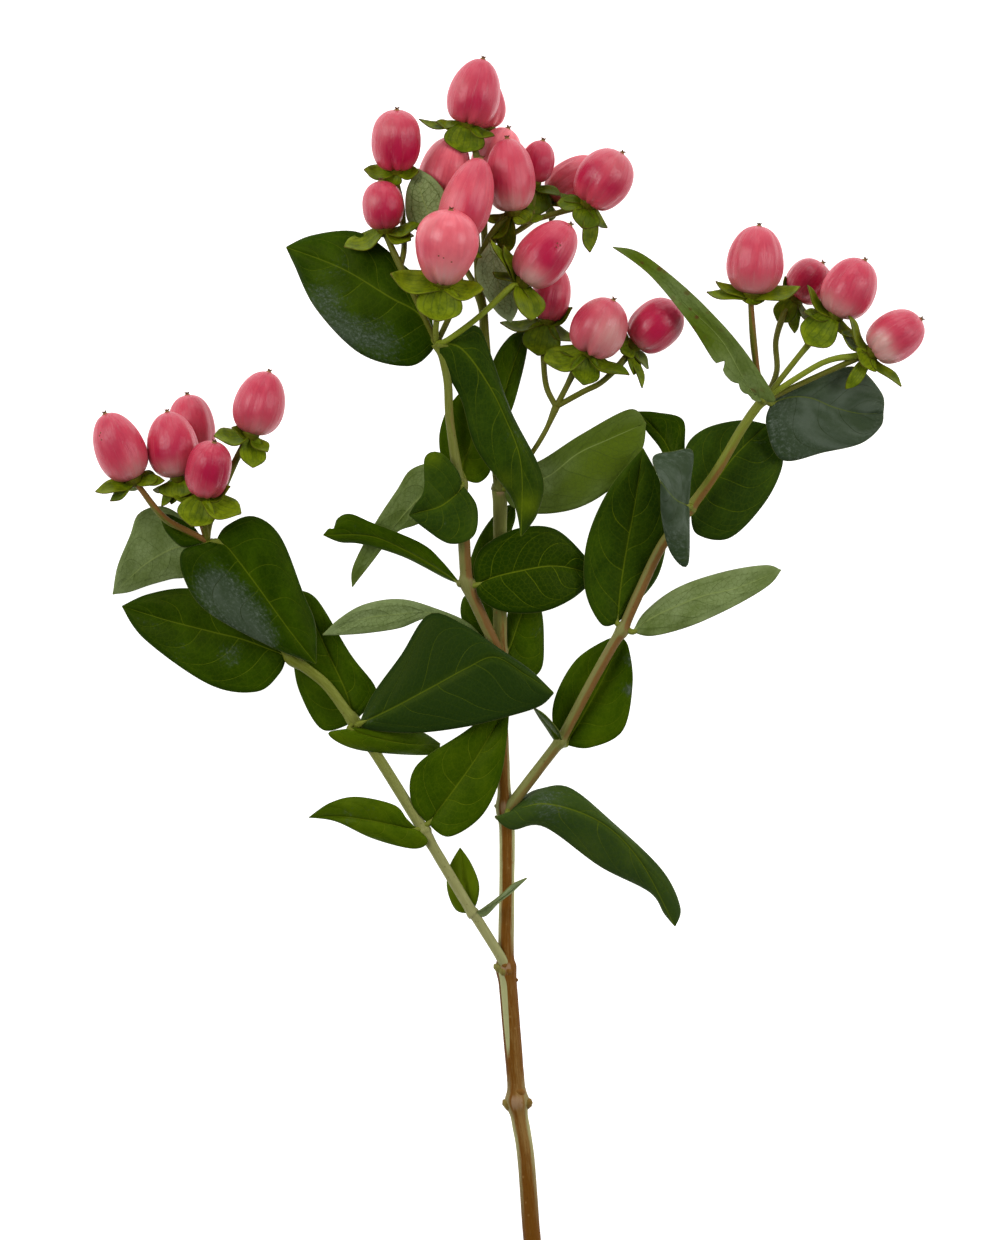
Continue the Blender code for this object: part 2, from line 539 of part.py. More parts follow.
def along_curve(points, fractions):
    """Points at the given fractions of the length of a smooth curve."""
    dense = [points[0]]
    for span in range(len(points) - 1):
        for step in range(1, CURVE_STEPS + 1):
            dense.append(curve_point(points, span, step / CURVE_STEPS))
    lengths = [0.0]
    for first, second in zip(dense, dense[1:]):
        lengths.append(lengths[-1] + (second - first).length)
    found = []
    index = 0
    for fraction in fractions:
        target = fraction * lengths[-1]
        while index < len(lengths) - 2 and lengths[index + 1] < target:
            index += 1
        share = (target - lengths[index]) / (lengths[index + 1] - lengths[index])
        found.append(dense[index].lerp(dense[index + 1], share))
    return found


def make_object(name, points, faces, colour="shoot"):
    mesh = bpy.data.meshes.new(name)
    mesh.from_pydata([tuple(point) for point in points], [], faces)
    mesh.validate()
    mesh.materials.append(material(colour))
    piece = bpy.data.objects.new(name, mesh)
    bpy.context.collection.objects.link(piece)
    return piece


def material(kind):
    found = bpy.data.materials.get(kind)
    if found:
        return found
    made = bpy.data.materials.new(kind)
    made.use_nodes = True
    shader = made.node_tree.nodes["Principled BSDF"]
    shader.inputs["Base Color"].default_value = COLOURS[kind]
    shader.inputs["Roughness"].default_value = ROUGHNESS
    return made


# Leaves


def leaf_surface(leaf, rows, columns):
    """The leaf's middle surface, as rows of points from margin to margin."""
    rib = along_curve(leaf.rib, rows)
    left = along_curve(leaf.left, rows)
    right = along_curve(leaf.right, rows)
    surface = []
    for middle, left_rise, right_rise in zip(rib, left, right):
        row = []
        for column in columns:
            edge = left_rise if column < 0 else right_rise
            share = abs(column)
            point = middle.lerp(Vector((edge.x, edge.y, middle.z + edge.z)), share)
            width = (flat(edge) - flat(middle)).length
            arch = 4.0 * share * (1.0 - share)   # one halfway to the margin
            point.z += leaf.camber * arch * min(1.0, width / LEAF_BROAD)
            row.append(point)
        surface.append(row)
    blunt_end(surface[0], surface[1], leaf.base, LEAF_NECK)
    blunt_end(surface[-1], surface[-2], leaf.tip, LEAF_POINT)
    return surface


def blunt_end(end_row, next_row, point, distance):
    """Set the last row on a small arc round the leaf's end point."""
    for column, beyond in enumerate(next_row):
        reach = beyond - point
        length = min(distance, reach.length * LEAF_END_SHARE)
        end_row[column] = point + reach.normalized() * length


def cell_normal(surface, row, column):
    """Square to one cell of the sheet, and as long as twice its area."""
    rise = surface[row + 1][column + 1] - surface[row][column]
    fall = surface[row + 1][column] - surface[row][column + 1]
    return rise.cross(fall)


def blade(name, surface, thickness, colour="leaf"):
    """A closed sheet, split alike on both faces.

    It is thickened along one direction, so that it can't cross itself where it
    is sharply curved, and further where it slopes away from that direction.
    """
    rows = len(surface)
    columns = len(surface[0])
    facing = Vector((0.0, 0.0, 0.0))
    for row in range(rows - 1):
        for column in range(columns - 1):
            facing += cell_normal(surface, row, column)
    facing.normalize()
    front = []
    back = []
    for row in range(rows):
        for column in range(columns):
            near = Vector((0.0, 0.0, 0.0))
            for cell_row in (row - 1, row):
                for cell_column in (column - 1, column):
                    if 0 <= cell_row < rows - 1 and 0 <= cell_column < columns - 1:
                        near += cell_normal(surface, cell_row, cell_column)
            slope = max(near.normalized().dot(facing), SLOPE_LIMIT)
            offset = facing * thickness / 2.0 / slope
            front.append(surface[row][column] + offset)
            back.append(surface[row][column] - offset)
    under = rows * columns
    faces = []
    for row in range(rows - 1):
        for column in range(columns - 1):
            a = row * columns + column
            b = a + 1
            c = a + columns + 1
            d = a + columns
            faces += [(a, b, c), (a, c, d)]
            faces += [(a + under, c + under, b + under), (a + under, d + under, c + under)]
    rim = list(range(columns))
    rim += [row * columns + columns - 1 for row in range(1, rows)]
    rim += [(rows - 1) * columns + column for column in range(columns - 2, -1, -1)]
    rim += [row * columns for row in range(rows - 2, 0, -1)]
    for first, second in zip(rim, rim[1:] + rim[:1]):
        faces += [(first, first + under, second + under), (first, second + under, second)]
    return make_object(name, front + back, faces, colour)


# Berries


def any_side(axis):
    """A fixed direction square to the axis, level with the surface."""
    side = SEEN.cross(axis)
    if side.length < UPRIGHT:
        side = Vector((1.0, 0.0, 0.0)).cross(axis)
    return side.normalized()


def berry_radius(turn, angle):
    """A berry's radius, as a share of its widest, at a place on its skin."""
    egg = math.sin(turn) * (1.0 + BERRY_EGG * math.cos(turn))
    groove = 0.0
    for number in range(BERRY_LOBES):
        away = math.remainder(angle - number * math.tau / BERRY_LOBES, math.tau)
        groove += math.exp(-(away / GROOVE_WIDTH) ** 2)
    depth = GROOVE_DEPTH * (GROOVE_EVEN + (1.0 - GROOVE_EVEN) * math.cos(turn))
    return egg * (1.0 - depth * groove)


def berry_object(name, berry, grow=0.0):
    """The whole berry with its dry point, or the same swollen by grow."""
    axis = berry.axis()
    side = any_side(axis)
    other = axis.cross(side)
    length = (berry.tip - berry.base).length
    points = [berry.base - axis * grow]
    for ring in range(1, BERRY_RINGS + 1):
        turn = math.pi * ring / (BERRY_RINGS + 1)
        middle = berry.base + axis * length * (1.0 - math.cos(turn)) / 2.0
        middle -= axis * grow * math.cos(turn)
        for number in range(BERRY_SIDES):
            angle = math.tau * number / BERRY_SIDES
            radius = berry.radius * berry_radius(turn, angle) + grow
            out = side * math.cos(angle) + other * math.sin(angle)
            points.append(middle + out * radius)
    for number in range(BERRY_SIDES):
        angle = math.tau * number / BERRY_SIDES
        out = side * math.cos(angle) + other * math.sin(angle)
        points.append(berry.tip - axis * STYLE_SINK + out * (STYLE_RADIUS + grow))
    points.append(berry.tip + axis * (STYLE_LENGTH + grow))
    faces = ring_faces(BERRY_RINGS + 1, BERRY_SIDES, len(points) - 1)
    return make_object(name, points, faces, "berry")


def ring_faces(rings, sides, last):
    """Faces of a closed shape: a first point, rings of points, a last point."""
    faces = []
    for number in range(sides):
        after = (number + 1) % sides
        faces.append((0, 1 + after, 1 + number))
        for ring in range(rings - 1):
            low = 1 + ring * sides
            high = low + sides
            faces.append((low + number, low + after, high + after))
            faces.append((low + number, high + after, high + number))
        top = 1 + (rings - 1) * sides
        faces.append((top + number, top + after, last))
    return faces


# Stems, stalks and sepals


def tube(name, points, radii, sides, spans=1, past=0.0):
    """A round closed rod along a smooth curve, its radius given at each point.

    It goes on past its first and last points by the length given as past.
    """
    points = list(points)
    points[0] = points[0] + (points[0] - points[1]).normalized() * past
    points[-1] = points[-1] + (points[-1] - points[-2]).normalized() * past
    path = []
    sizes = []
    for span in range(len(points) - 1):
        for step in range(spans):
            share = step / spans
            path.append(curve_point(points, span, share))
            ease = share * share * (3.0 - 2.0 * share)
            sizes.append(radii[span] + (radii[span + 1] - radii[span]) * ease)
    path.append(points[-1])
    sizes.append(radii[-1])
    direction = (path[1] - path[0]).normalized()
    side = any_side(direction)
    rod = [path[0]]
    for index, place in enumerate(path):
        before = path[max(index - 1, 0)]
        after = path[min(index + 1, len(path) - 1)]
        direction = (after - before).normalized()
        side = (side - direction * side.dot(direction)).normalized()
        other = direction.cross(side)
        for number in range(sides):
            angle = math.tau * number / sides
            out = side * math.cos(angle) + other * math.sin(angle)
            rod.append(place + out * sizes[index])
    rod.append(path[-1])
    return make_object(name, rod, ring_faces(len(path), sides, len(rod) - 1))


def rod_of(name, table, sides=STEM_SIDES, grow=0.0, spans=1):
    points = [at(*entry[:3]) for entry in table]
    radii = [entry[3] * MM + grow for entry in table]
    return tube(name, points, radii, sides, spans, past=grow)


def sepal_object(root, tip, width, axis):
    """A pointed green blade that bows away from the berry to its tip."""
    reach = tip - root
    direction = reach.normalized()
    across = direction.cross(axis + SEEN * SEPAL_TURN).normalized()
    crown = (root + tip) / 2.0 - axis * reach.length * SEPAL_ARCH
    surface = []
    for share, spread in SEPAL_SHAPE:
        middle = root * (1 - share) ** 2 + crown * 2 * share * (1 - share) + tip * share ** 2
        half = across * width * spread / 2.0
        surface.append([middle - half, middle + half])
    return blade("sepal", surface, SEPAL_THICKNESS, "shoot")


def short_sepal(root, tip, width, axis, skins):
    """A hidden sepal, as long as it can be without touching the skins."""
    for share in HIDDEN_SEPAL_SHARES:
        piece = sepal_object(root, root.lerp(tip, share), width * (1.0 + share) / 2.0, axis)
        skin = skin_of(piece)
        if not any(skin.overlap(other) for other in skins):
            break
        if share != HIDDEN_SEPAL_SHARES[-1]:
            bpy.data.objects.remove(piece)
    return piece


def calyx(berry, draw, skins):
    """The cup under a berry and the five sepals round it."""
    axis = berry.axis()
    pieces = [tube("cup", [berry.base - axis * CUP_HEIGHT, berry.base - axis * GAP],
                   [STALK_RADIUS * CUP_FLARE, CUP_RADIUS], CUP_SIDES)]
    root_level = berry.base - axis * SEPAL_LEVEL
    for across, down, rise, width in berry.sepals:
        tip = at(across, down, berry.base_height + rise)
        out = tip - root_level
        out = (out - axis * out.dot(axis)).normalized()
        root = root_level + out * SEPAL_ROOT
        pieces.append(sepal_object(root, tip, width * MM, axis))
    hidden = SEPALS_A_BERRY - len(berry.sepals)
    side = any_side(axis)
    behind = side.cross(axis).normalized()
    if behind.z > 0.0:
        behind = -behind
    for number in range(hidden):
        spread = 0.0 if hidden == 1 else (number / (hidden - 1) - 0.5)
        stray = draw.uniform(-HIDDEN_SEPAL_STRAY, HIDDEN_SEPAL_STRAY)
        angle = spread * HIDDEN_SEPAL_ANGLE * hidden + stray
        out = behind * math.cos(angle) + side * math.sin(angle)
        root = root_level + out * SEPAL_ROOT
        droop = draw.uniform(-HIDDEN_SEPAL_DROOP, 0.0)
        tip = root + (out + axis * droop).normalized() * HIDDEN_SEPAL_LENGTH
        tip.z = max(tip.z, LOWEST_SEPAL)
        pieces.append(short_sepal(root, tip, HIDDEN_SEPAL_WIDTH, axis, skins))
    return pieces


# Joining and cutting


def skin_of(piece):
    points = [vertex.co for vertex in piece.data.vertices]
    faces = [tuple(face.vertices) for face in piece.data.polygons]
    return BVHTree.FromPolygons(points, faces)


def apply_boolean(piece, others, operation):
    """Join the others to a piece, or cut them from it, and remove them."""
    group = bpy.data.collections.new("others")
    bpy.context.scene.collection.children.link(group)
    for other in others:
        bpy.context.collection.objects.unlink(other)
        group.objects.link(other)
    modifier = piece.modifiers.new("join", "BOOLEAN")
    modifier.operation = operation
    modifier.operand_type = "COLLECTION"
    modifier.collection = group
    modifier.solver = "EXACT"
    bpy.context.view_layer.update()
    shaped = piece.evaluated_get(bpy.context.evaluated_depsgraph_get())
    mesh = bpy.data.meshes.new_from_object(shaped)
    piece.modifiers.clear()
    piece.data = mesh
    for other in list(group.objects):
        bpy.data.objects.remove(other)
    bpy.data.collections.remove(group)


def build_berries():
    for name, berry in BERRIES.items():
        piece = berry_object(name, berry)
        piece.data.shade_smooth()


def cut_away(piece, cutters):
    """Cut the cutters that reach the piece from it, and remove them all."""
    skin = skin_of(piece)
    reaching = []
    for cutter in cutters:
        if skin.overlap(skin_of(cutter)):
            reaching.append(cutter)
        else:
            bpy.data.objects.remove(cutter)
    if reaching:
        apply_boolean(piece, reaching, "DIFFERENCE")


def merge_flat(piece):
    """Join neighbouring faces that lie in one plane, and split them again."""
    shape = bmesh.new()
    shape.from_mesh(piece.data)
    bmesh.ops.remove_doubles(shape, verts=shape.verts, dist=WELD)
    bmesh.ops.dissolve_limit(shape, angle_limit=FLAT_ANGLE, verts=shape.verts,
                             edges=shape.edges)
    bmesh.ops.triangulate(shape, faces=shape.faces)
    shape.to_mesh(piece.data)
    shape.free()


def stalk_object(berry, grow=0.0):
    route = berry.stalk + [berry.base - berry.axis() * CUP_HEIGHT / 2.0]
    radii = [STALK_RADIUS + grow] * len(route)
    return tube("stalk", route, radii, STALK_SIDES)


def build_stem(name, draw, skins):
    """One stem with its side stalks, cups, sepals and small leaves."""
    stem = rod_of(name, STEMS[name])
    stem.data.materials.clear()
    stem.data.materials.append(material("stem" if name == "main_stem" else "shoot"))
    parts = [rod_of("fork", table, STALK_SIDES) for table in FORKS.get(name, [])]
    for berry in BERRIES.values():
        if berry.shoot == name:
            parts.append(stalk_object(berry))
            parts += calyx(berry, draw, skins)
    for leaflet in LEAFLETS.get(name, []):
        surface = leaf_surface(leaflet, LEAFLET_ROWS, LEAFLET_COLUMNS)
        parts.append(blade("leaflet", surface, LEAF_THICKNESS))
    apply_boolean(stem, parts, "UNION")
    cutters = [berry_object("cutter", berry, GAP) for berry in BERRIES.values()]
    if name != "main_stem":
        cutters.append(rod_of("cutter", STEMS["main_stem"], grow=GAP))
    cut_away(stem, cutters)
    merge_flat(stem)


def leaf_blade(name, leaf):
    return blade(name, leaf_surface(leaf, LEAF_ROWS, LEAF_COLUMNS), LEAF_THICKNESS)


def clear_leaf(piece):
    """Cut a leaf clear of the stems and stalks that it grows from or meets."""
    cutters = [rod_of("cutter", table, grow=GAP) for table in STEMS.values()]
    for tables in FORKS.values():
        cutters += [rod_of("cutter", table, STALK_SIDES, grow=GAP) for table in tables]
    cutters += [stalk_object(berry, GAP) for berry in BERRIES.values()]
    cut_away(piece, cutters)
    piece.data.shade_smooth()


def main():
    for old in list(bpy.data.objects):
        bpy.data.objects.remove(old)
    draw = random.Random(SEED)
    build_berries()
    leaves = [leaf_blade(name, leaf) for name, leaf in LEAVES.items()]
    skins = [skin_of(leaf) for leaf in leaves]
    for berry in BERRIES.values():
        swollen = berry_object("swollen", berry, GAP)
        skins.append(skin_of(swollen))
        bpy.data.objects.remove(swollen)
    for name in STEMS:
        build_stem(name, draw, skins)
    for leaf in leaves:
        clear_leaf(leaf)


main()
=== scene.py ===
"""The looks of a cut stem of hypericum berries, lying down and seen from above.

Every leaf, berry and stem of the frame is replaced by a finer one with the same
measures. Lengths are in metres. A place is written as (across, down, height):
pixels of the photograph, and millimetres above the surface.
"""
import math
import random

import bpy
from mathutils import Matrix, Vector, noise
from mathutils.bvhtree import BVHTree


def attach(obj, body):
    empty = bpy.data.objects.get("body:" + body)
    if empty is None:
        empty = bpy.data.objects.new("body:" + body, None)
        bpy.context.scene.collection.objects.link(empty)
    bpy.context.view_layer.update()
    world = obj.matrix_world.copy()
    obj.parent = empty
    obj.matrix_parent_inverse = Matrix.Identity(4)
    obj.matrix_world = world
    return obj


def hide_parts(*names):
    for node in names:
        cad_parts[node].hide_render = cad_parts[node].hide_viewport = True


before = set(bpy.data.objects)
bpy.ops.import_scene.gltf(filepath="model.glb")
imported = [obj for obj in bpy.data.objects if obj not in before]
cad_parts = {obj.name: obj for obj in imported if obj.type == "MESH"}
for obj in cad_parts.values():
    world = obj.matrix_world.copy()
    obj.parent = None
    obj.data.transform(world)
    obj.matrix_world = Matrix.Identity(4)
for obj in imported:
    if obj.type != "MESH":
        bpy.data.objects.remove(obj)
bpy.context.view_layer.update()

MM = 0.001
NOUGHT = (0.0, 0.0, 0.0)
VIEW_PIXEL = 0.25 * MM           # four pixels of the photograph are one millimetre
VIEW_CENTRE = (508.0, 669.0)     # the pixel over the origin
SEEN = Vector((0.0, 0.0, 1.0))   # the way from the part to the camera

PHOTO_SIZE = (992, 1240)
LENS = 400.0                     # in mm: long, so that all is seen straight down
SENSOR = 36.0
CAMERA_LEVEL = 20.0 * MM         # the height at which a pixel is VIEW_PIXEL
FLOOR_HALF = 3.0
FLOOR_GREY = (0.7, 0.7, 0.7, 1.0)
WHITE = (1.0, 1.0, 1.0, 1.0)
WORLD_STRENGTH = 0.23
LAMP_SIZE = 0.50
LAMPS = {                        # place and power in watts
    "left": ((-0.70, 0.35, 0.75), 6.1),
    "right": ((0.75, 0.20, 0.65), 4.4),
    "top": ((0.05, 0.95, 0.45), 3.0),
}

# The order of the materials that a piece has
UPPER_SLOT, UNDER_SLOT, NECK_SLOT = range(3)             # a leaf's
SKIN_SLOT, FOOT_SLOT, DARK_SLOT = range(3)               # a berry's
ROD_SLOT, SEPAL_SLOT, LEAFLET_UPPER_SLOT, LEAFLET_UNDER_SLOT, CUT_SLOT = range(5)   # a stem's
LEAF_SIDES = (UPPER_SLOT, UNDER_SLOT)
LEAFLET_SIDES = (LEAFLET_UPPER_SLOT, LEAFLET_UNDER_SLOT)

LEAF_NECK = 1.0 * MM             # how far from its base point a leaf begins
LEAF_POINT = 0.8 * MM            # how far from its tip point a leaf ends
LEAF_END_SHARE = 0.4             # and at most this share of the way to its next row
LEAF_BROAD = 4.0 * MM            # where its half is narrower, it arches and swells less
LEAF_TIP_FADE = 6.0              # its relief fades over the last 1 / 6 of its length
LEAF_RIM_THIN = 0.35             # how much thinner it is at its margin
LEAF_SPLITS = (56, 28)           # cells along and across a leaf
LEAFLET_SPLITS = (24, 12)
CROWDED_ROWS = 0.6               # shares of two spacings: crowded at both ends, and even
EVEN_ROWS = 0.4
LEAF_SKIN = 0.36 * MM            # a leaf's thickness away from its midrib
RIB_RIDGE = 0.34 * MM            # how far the midrib stands out below
RIB_RIDGE_FADE = 0.6             # and how much less at the tip
RIB_GROOVE = 0.20 * MM           # how far it is sunk above
RIB_WIDTH = 0.38 * MM
QUILT = 0.17 * MM                # how far the blade swells between side veins
VEINS = 5                        # side veins from base to tip
VEIN_SLANT = 0.20                # how far they run forward to the margin
VEIN_SWEEP = 0.22                # and how far they bend forward near it
VEIN_WOBBLE = 0.012              # how far they sway from their line
VEIN_WOBBLE_TURNS = (9.0, 6.0)   # how fast, in radians from base to tip and to the margin
VEIN_HALF = 0.12                 # half a vein's width, of the way to the next one
DEEPEST_BITE = 0.8               # of the way from the margin to the midrib
LEFT_WAVE = 3.4                  # where the waves of the two margins start, in radians
RIGHT_WAVE = 1.0
SEED_REACH = 40.0                # how far apart the noise of two seeds lies
NECK_REACH = 5.0 * MM            # a leaf's neck runs to a stem that is no farther than this
NECK_RADIUS = 0.75 * MM
NECK_SHARES = (1.3, 1.0, 0.25)   # of that radius: at the stem, the leaf's base and its end
NECK_SPANS = 5
NECK_SINK = 2.2 * MM             # how far the neck runs on under the blade

BERRY_SPLITS = (44, 56)          # rings along, sides round
STALK_DENT = 0.3 * MM            # how far the skin is sunk at the stalk
TIP_DENT = 0.15 * MM
LOBES = 3
GROOVE_DEPTH = 0.052             # of a berry's radius
GROOVE_WIDTH = 0.20              # in radians
GROOVE_ENDS = 0.5                # how deep it still is at the two ends
FOLDS = ((0.62, 0.45), (1.45, 0.35), (2.75, 0.5), (4.6, 0.4))   # lesser grooves: turn, share
FOLD_WIDTH = 0.8 * GROOVE_WIDTH
CLEFT_DEPTH = 0.20               # deeper towards the stalk, times the berry's cleft
CLEFT_FALL = 1.5                 # how fast it gets shallower away from the stalk
LOBE_DROP = 1.5 * MM             # how far the lobes hang past the stalk's end
EGG_BALANCE = 0.46               # keeps an egg shape as wide as a plain one
LUMPS = 0.028                    # unevenness, of the radius
LUMP_SCALE = 1.2                 # how close together the lumps are
LUMP_STRETCH = 0.8               # and how long they are drawn, as are the ribs
RIBS = 0.022
RIB_SCALE = 4.5
RIB_STRETCH = 0.5
STYLE_FOOT = ((-0.4, 0.95), (0.05, 0.7), (0.3, 0.3))   # past the tip and radius, in mm
STYLE_POINTS = 3
STYLE_BENDS = ((0.1, 0.15, 0.26), (0.4, 0.2, 0.22), (0.25, 0.4, 0.08))   # up, out, radius
STYLE_SIDES = 8
STYLE_SPANS = 3
SPECK_RADIUS = 0.24 * MM
SPECK_SIDES = 8
SPECK_TOP = 0.05 * MM
SPECK_RINGS = ((0.035, 0.6), (-0.02, 1.0))   # height in mm, share of the radius
SPECK_ROOT = 0.08 * MM
SPECK_WOBBLE = 0.2

CURVE_STEPS = 12                 # short lines that a curve is measured with, a span
STEM_SIDES = 28
STEM_SPANS = 6                   # rings between two points of a stem
STEM_RIDGE = 0.03                # how far a stem's two ridges stand out, of its radius
ROD_LUMPS = 0.03                 # unevenness, of the radius
ROD_LUMP_RATE = 0.25             # lumps to a millimetre
JOINT_SWELL = 1.12               # a stem's point is at a joint if it is thicker by this
STALK_SIDES = 14
STALK_RADIUS = 0.75 * MM
STALK_JOINT = 1.2                # how much thicker a stalk is at its joint
CUP_HEIGHT = 2.0 * MM            # the green cup that the sepals grow from
CUP_RADIUS = 2.2 * MM
CUP_LEVELS = (-CUP_HEIGHT, -0.45 * CUP_HEIGHT, -0.1 * MM, 0.5 * MM)   # past the berry's base
CUP_RADII = (1.15 * STALK_RADIUS, 0.8 * CUP_RADIUS, CUP_RADIUS, 0.9 * CUP_RADIUS)
CUP_SIDES = 20
CUP_SPANS = 4
SEPALS_A_BERRY = 5
SEPAL_SPLITS = (12, 8)
SEPAL_LEVEL = 1.0 * MM           # how far below the berry's base the sepals start
SEPAL_START = 0.8 * MM           # and how far from its axis
SEPAL_BREADTH = 1.30             # of the CAD's width
SEPAL_WIDEST = 0.48              # where it is widest, of its length
SEPAL_FOOT = 0.5                 # its width at the base, of its widest
SEPAL_POINT = 0.06               # and at its tip
SEPAL_POWER = 2.4                # how blunt its outer half is
SEPAL_SKIN = 0.4 * MM
SEPAL_RIM_THIN = 0.5             # how much thinner it is at its margin
SEPAL_ARCH = 0.12                # how far a sepal bows away from its berry
SEPAL_SWAY = 0.05                # and how far it sways, of its length
SEPAL_HOLLOW = 0.22              # how far its margins turn up, of half its width
SEPAL_LEAN = 0.6                 # how much it turns its face to the camera
SEPAL_TONES = 0.4                # how far sepals differ in brightness
SEPAL_TONE_TURN = 7.0            # and how fast that changes with the seed
SEPAL_SEED_STEP = 0.37
HIDDEN_SEPAL_LENGTH = 7.0 * MM
HIDDEN_SEPAL_WIDTH = 4.5 * MM
HIDDEN_SEPAL_SPREAD = math.radians(70.0)
HIDDEN_SEPAL_TURN = 0.15         # at random, in radians
HIDDEN_SEPAL_BACK = 0.35         # at random, of its way out
HIDDEN_SEPAL_SHADE = 0.5
CLEAR_SHARES = (1.0, 0.8, 0.6)   # lengths that are tried for a hidden sepal
LEAST_SHARE = 0.45               # and the one it has where none is clear
LOWEST_SEPAL = 1.8 * MM
BUD_SPLITS = (6, 10)             # rings along, sides round
BUD_BUMPS = (0.12, 0.08)         # unevenness by twos and by threes, of the radius
BUD_JOINT = 0.4                  # how far it is coloured as a stem's joint
BUD_TAN = 0.2
CUT_RINGS = ((-0.1, 0.97), (0.05, 0.95), (0.06, 0.6), (0.04, 0.3))   # past the end in mm, share
CUT_ROOT = 0.3 * MM
CUT_MIDDLE = 0.02 * MM
OVER_ALL = 100.0                 # a height in mm from which a ray is sent down
NEARLY_UPRIGHT = 0.1             # an axis that leans less has no level side of its own
REST_LEVEL = 0.03 * MM           # nothing is lower: what rests is a little flat

DRAW_SEED = 7
STEM_SEEDS = (3.0, 1.7)          # the first one and the step to the next
BERRY_SEEDS = (1.0, 2.3)
LEAF_SEED_STEP = 0.137


# Places


def at(across, down, height):
    """The place over one pixel of the view, at a height in millimetres."""
    x = (across - VIEW_CENTRE[0]) * VIEW_PIXEL
    y = (VIEW_CENTRE[1] - down) * VIEW_PIXEL
    return Vector((x, y, height * MM))


def flat(point):
    return Vector((point.x, point.y, 0.0))


# Stems: (across, down, height, radius in mm), from the cut end or the fork up

STEMS = {
    "main_stem": [
        (537, 1280, 2.25, 2.2), (532, 1240, 2.9, 2.15), (526, 1160, 4.5, 2.1),
        (520, 1122, 5.2, 2.1), (517, 1103, 5.7, 3.0), (516, 1084, 6.1, 2.15),
        (511.5, 1030, 7.1, 2.2), (508, 987, 7.9, 2.25), (506, 968, 8.3, 2.6),
        (506, 950, 8.6, 1.95), (507, 876, 10.2, 1.85), (507, 830, 11.2, 1.9),
        (505, 808, 11.7, 2.3), (504, 785, 12.3, 1.6), (501, 717, 14.2, 1.65),
        (500, 668, 15.5, 1.75), (500, 652, 15.9, 2.0), (500, 634, 16.4, 1.7),
        (500, 538, 19.4, 1.65), (500, 505, 20.5, 1.75), (500, 491, 21.0, 2.0)],
    "left_shoot": [
        (505, 966, 9.5, 1.3), (496, 950, 11.0, 1.25), (477, 919.5, 12.4, 1.25),
        (473, 914, 12.6, 1.6), (466, 903, 13.0, 1.3), (437, 854, 14.0, 1.3),
        (427, 837, 14.3, 1.5), (424, 831, 14.3, 1.8), (417, 820, 14.4, 1.4),
        (377, 756, 15.0, 1.35), (354, 722, 15.3, 1.7), (345, 710, 15.3, 1.3),
        (326, 685, 15.0, 1.25), (305, 668, 14.8, 1.25), (291, 659, 14.6, 1.6),
        (282, 646, 14.8, 1.1), (250, 600, 15.6, 1.05), (214, 551, 16.8, 1.05),
        (207, 541, 17.0, 1.5)],
    "centre_shoot": [
        (499.5, 656, 16.8, 1.4), (495, 645, 19.2, 1.4), (475, 602, 22.3, 1.45),
        (467, 583, 23.4, 1.9), (466, 572, 23.9, 1.5), (464.5, 550, 25.3, 1.5),
        (462, 500, 27.6, 1.45), (461, 484, 28.0, 1.8), (458, 474, 28.2, 1.3),
        (450, 422, 29.5, 1.05), (448, 384, 30.5, 1.05), (443, 358, 31.2, 1.05),
        (437, 344, 31.5, 1.5)],
    "top_shoot": [
        (499.3, 488.5, 21.3, 1.7), (498, 478, 21.6, 1.3), (492, 420, 22.0, 1.2),
        (485, 340, 22.0, 1.15), (483, 310, 21.5, 1.1), (478, 290, 21.0, 1.4)],
    "right_shoot": [
        (507, 812, 12.2, 1.45), (516, 799, 13.6, 1.4), (552, 752, 14.8, 1.35),
        (560, 742, 15.0, 1.7), (566, 731, 15.2, 1.3), (592, 682, 16.4, 1.3),
        (614, 643, 17.6, 1.3), (622, 631, 18.0, 1.7), (627, 620, 18.3, 1.3),
        (638, 595, 19.0, 1.3), (661, 547, 20.3, 1.25), (685, 515, 21.0, 1.3),
        (690, 508, 21.1, 1.7), (696, 500, 21.2, 1.3), (718, 469, 21.4, 1.2),
        (741, 430, 21.5, 1.15), (757, 407, 21.5, 1.15), (766, 398, 21.5, 1.6)],
}

# Side stalks that fork before they reach their berries, or lie beside another

FORKS = {
    "top_shoot": [
        [(499.5, 488, 21.5, 0.9), (518, 470, 24.5, 0.75), (532, 453, 25.5, 0.65),
         (546, 430, 25.5, 0.65), (556, 407, 25.3, 1.0)],
        [(480, 268, 21.8, 0.8), (488, 247, 21.3, 0.75), (497, 240, 20.2, 0.7),
         (516, 232, 18.6, 0.7), (532, 220, 17.0, 0.9)]],
    "right_shoot": [
        [(768, 399, 21.0, 0.8), (798, 385, 19.2, 0.7), (824, 373, 18.2, 0.7),
         (858, 358, 17.8, 0.8)]],
}


# Berries


class Berry:
    """Where one berry is: the stem that carries its stalk, the stalk's end, its
    own tip, its width in mm, the stalk's route from the stem, and the sepals
    whose tips are seen, as (across, down, height above the stalk's end in mm,
    width in mm)."""

    def __init__(self, shoot, base, tip, width, stalk, sepals=()):
        self.shoot = shoot
        self.base = at(*base)
        self.tip = at(*tip)
        self.radius = width * MM / 2.0
        self.stalk = [at(*point) for point in stalk]
        self.sepals = sepals
        self.base_height = base[2]

    def axis(self):
        return (self.tip - self.base).normalized()


LEFT_FORK = (207, 541, 17.0)
CENTRE_FORK = (437, 344, 31.5)
UPPER_FORK = (478, 290, 21.0)
THREE_FORK = (556, 407, 25.3)
TWIG_FORK = (532, 220, 17.0)
RIGHT_FORK = (766, 398, 21.5)

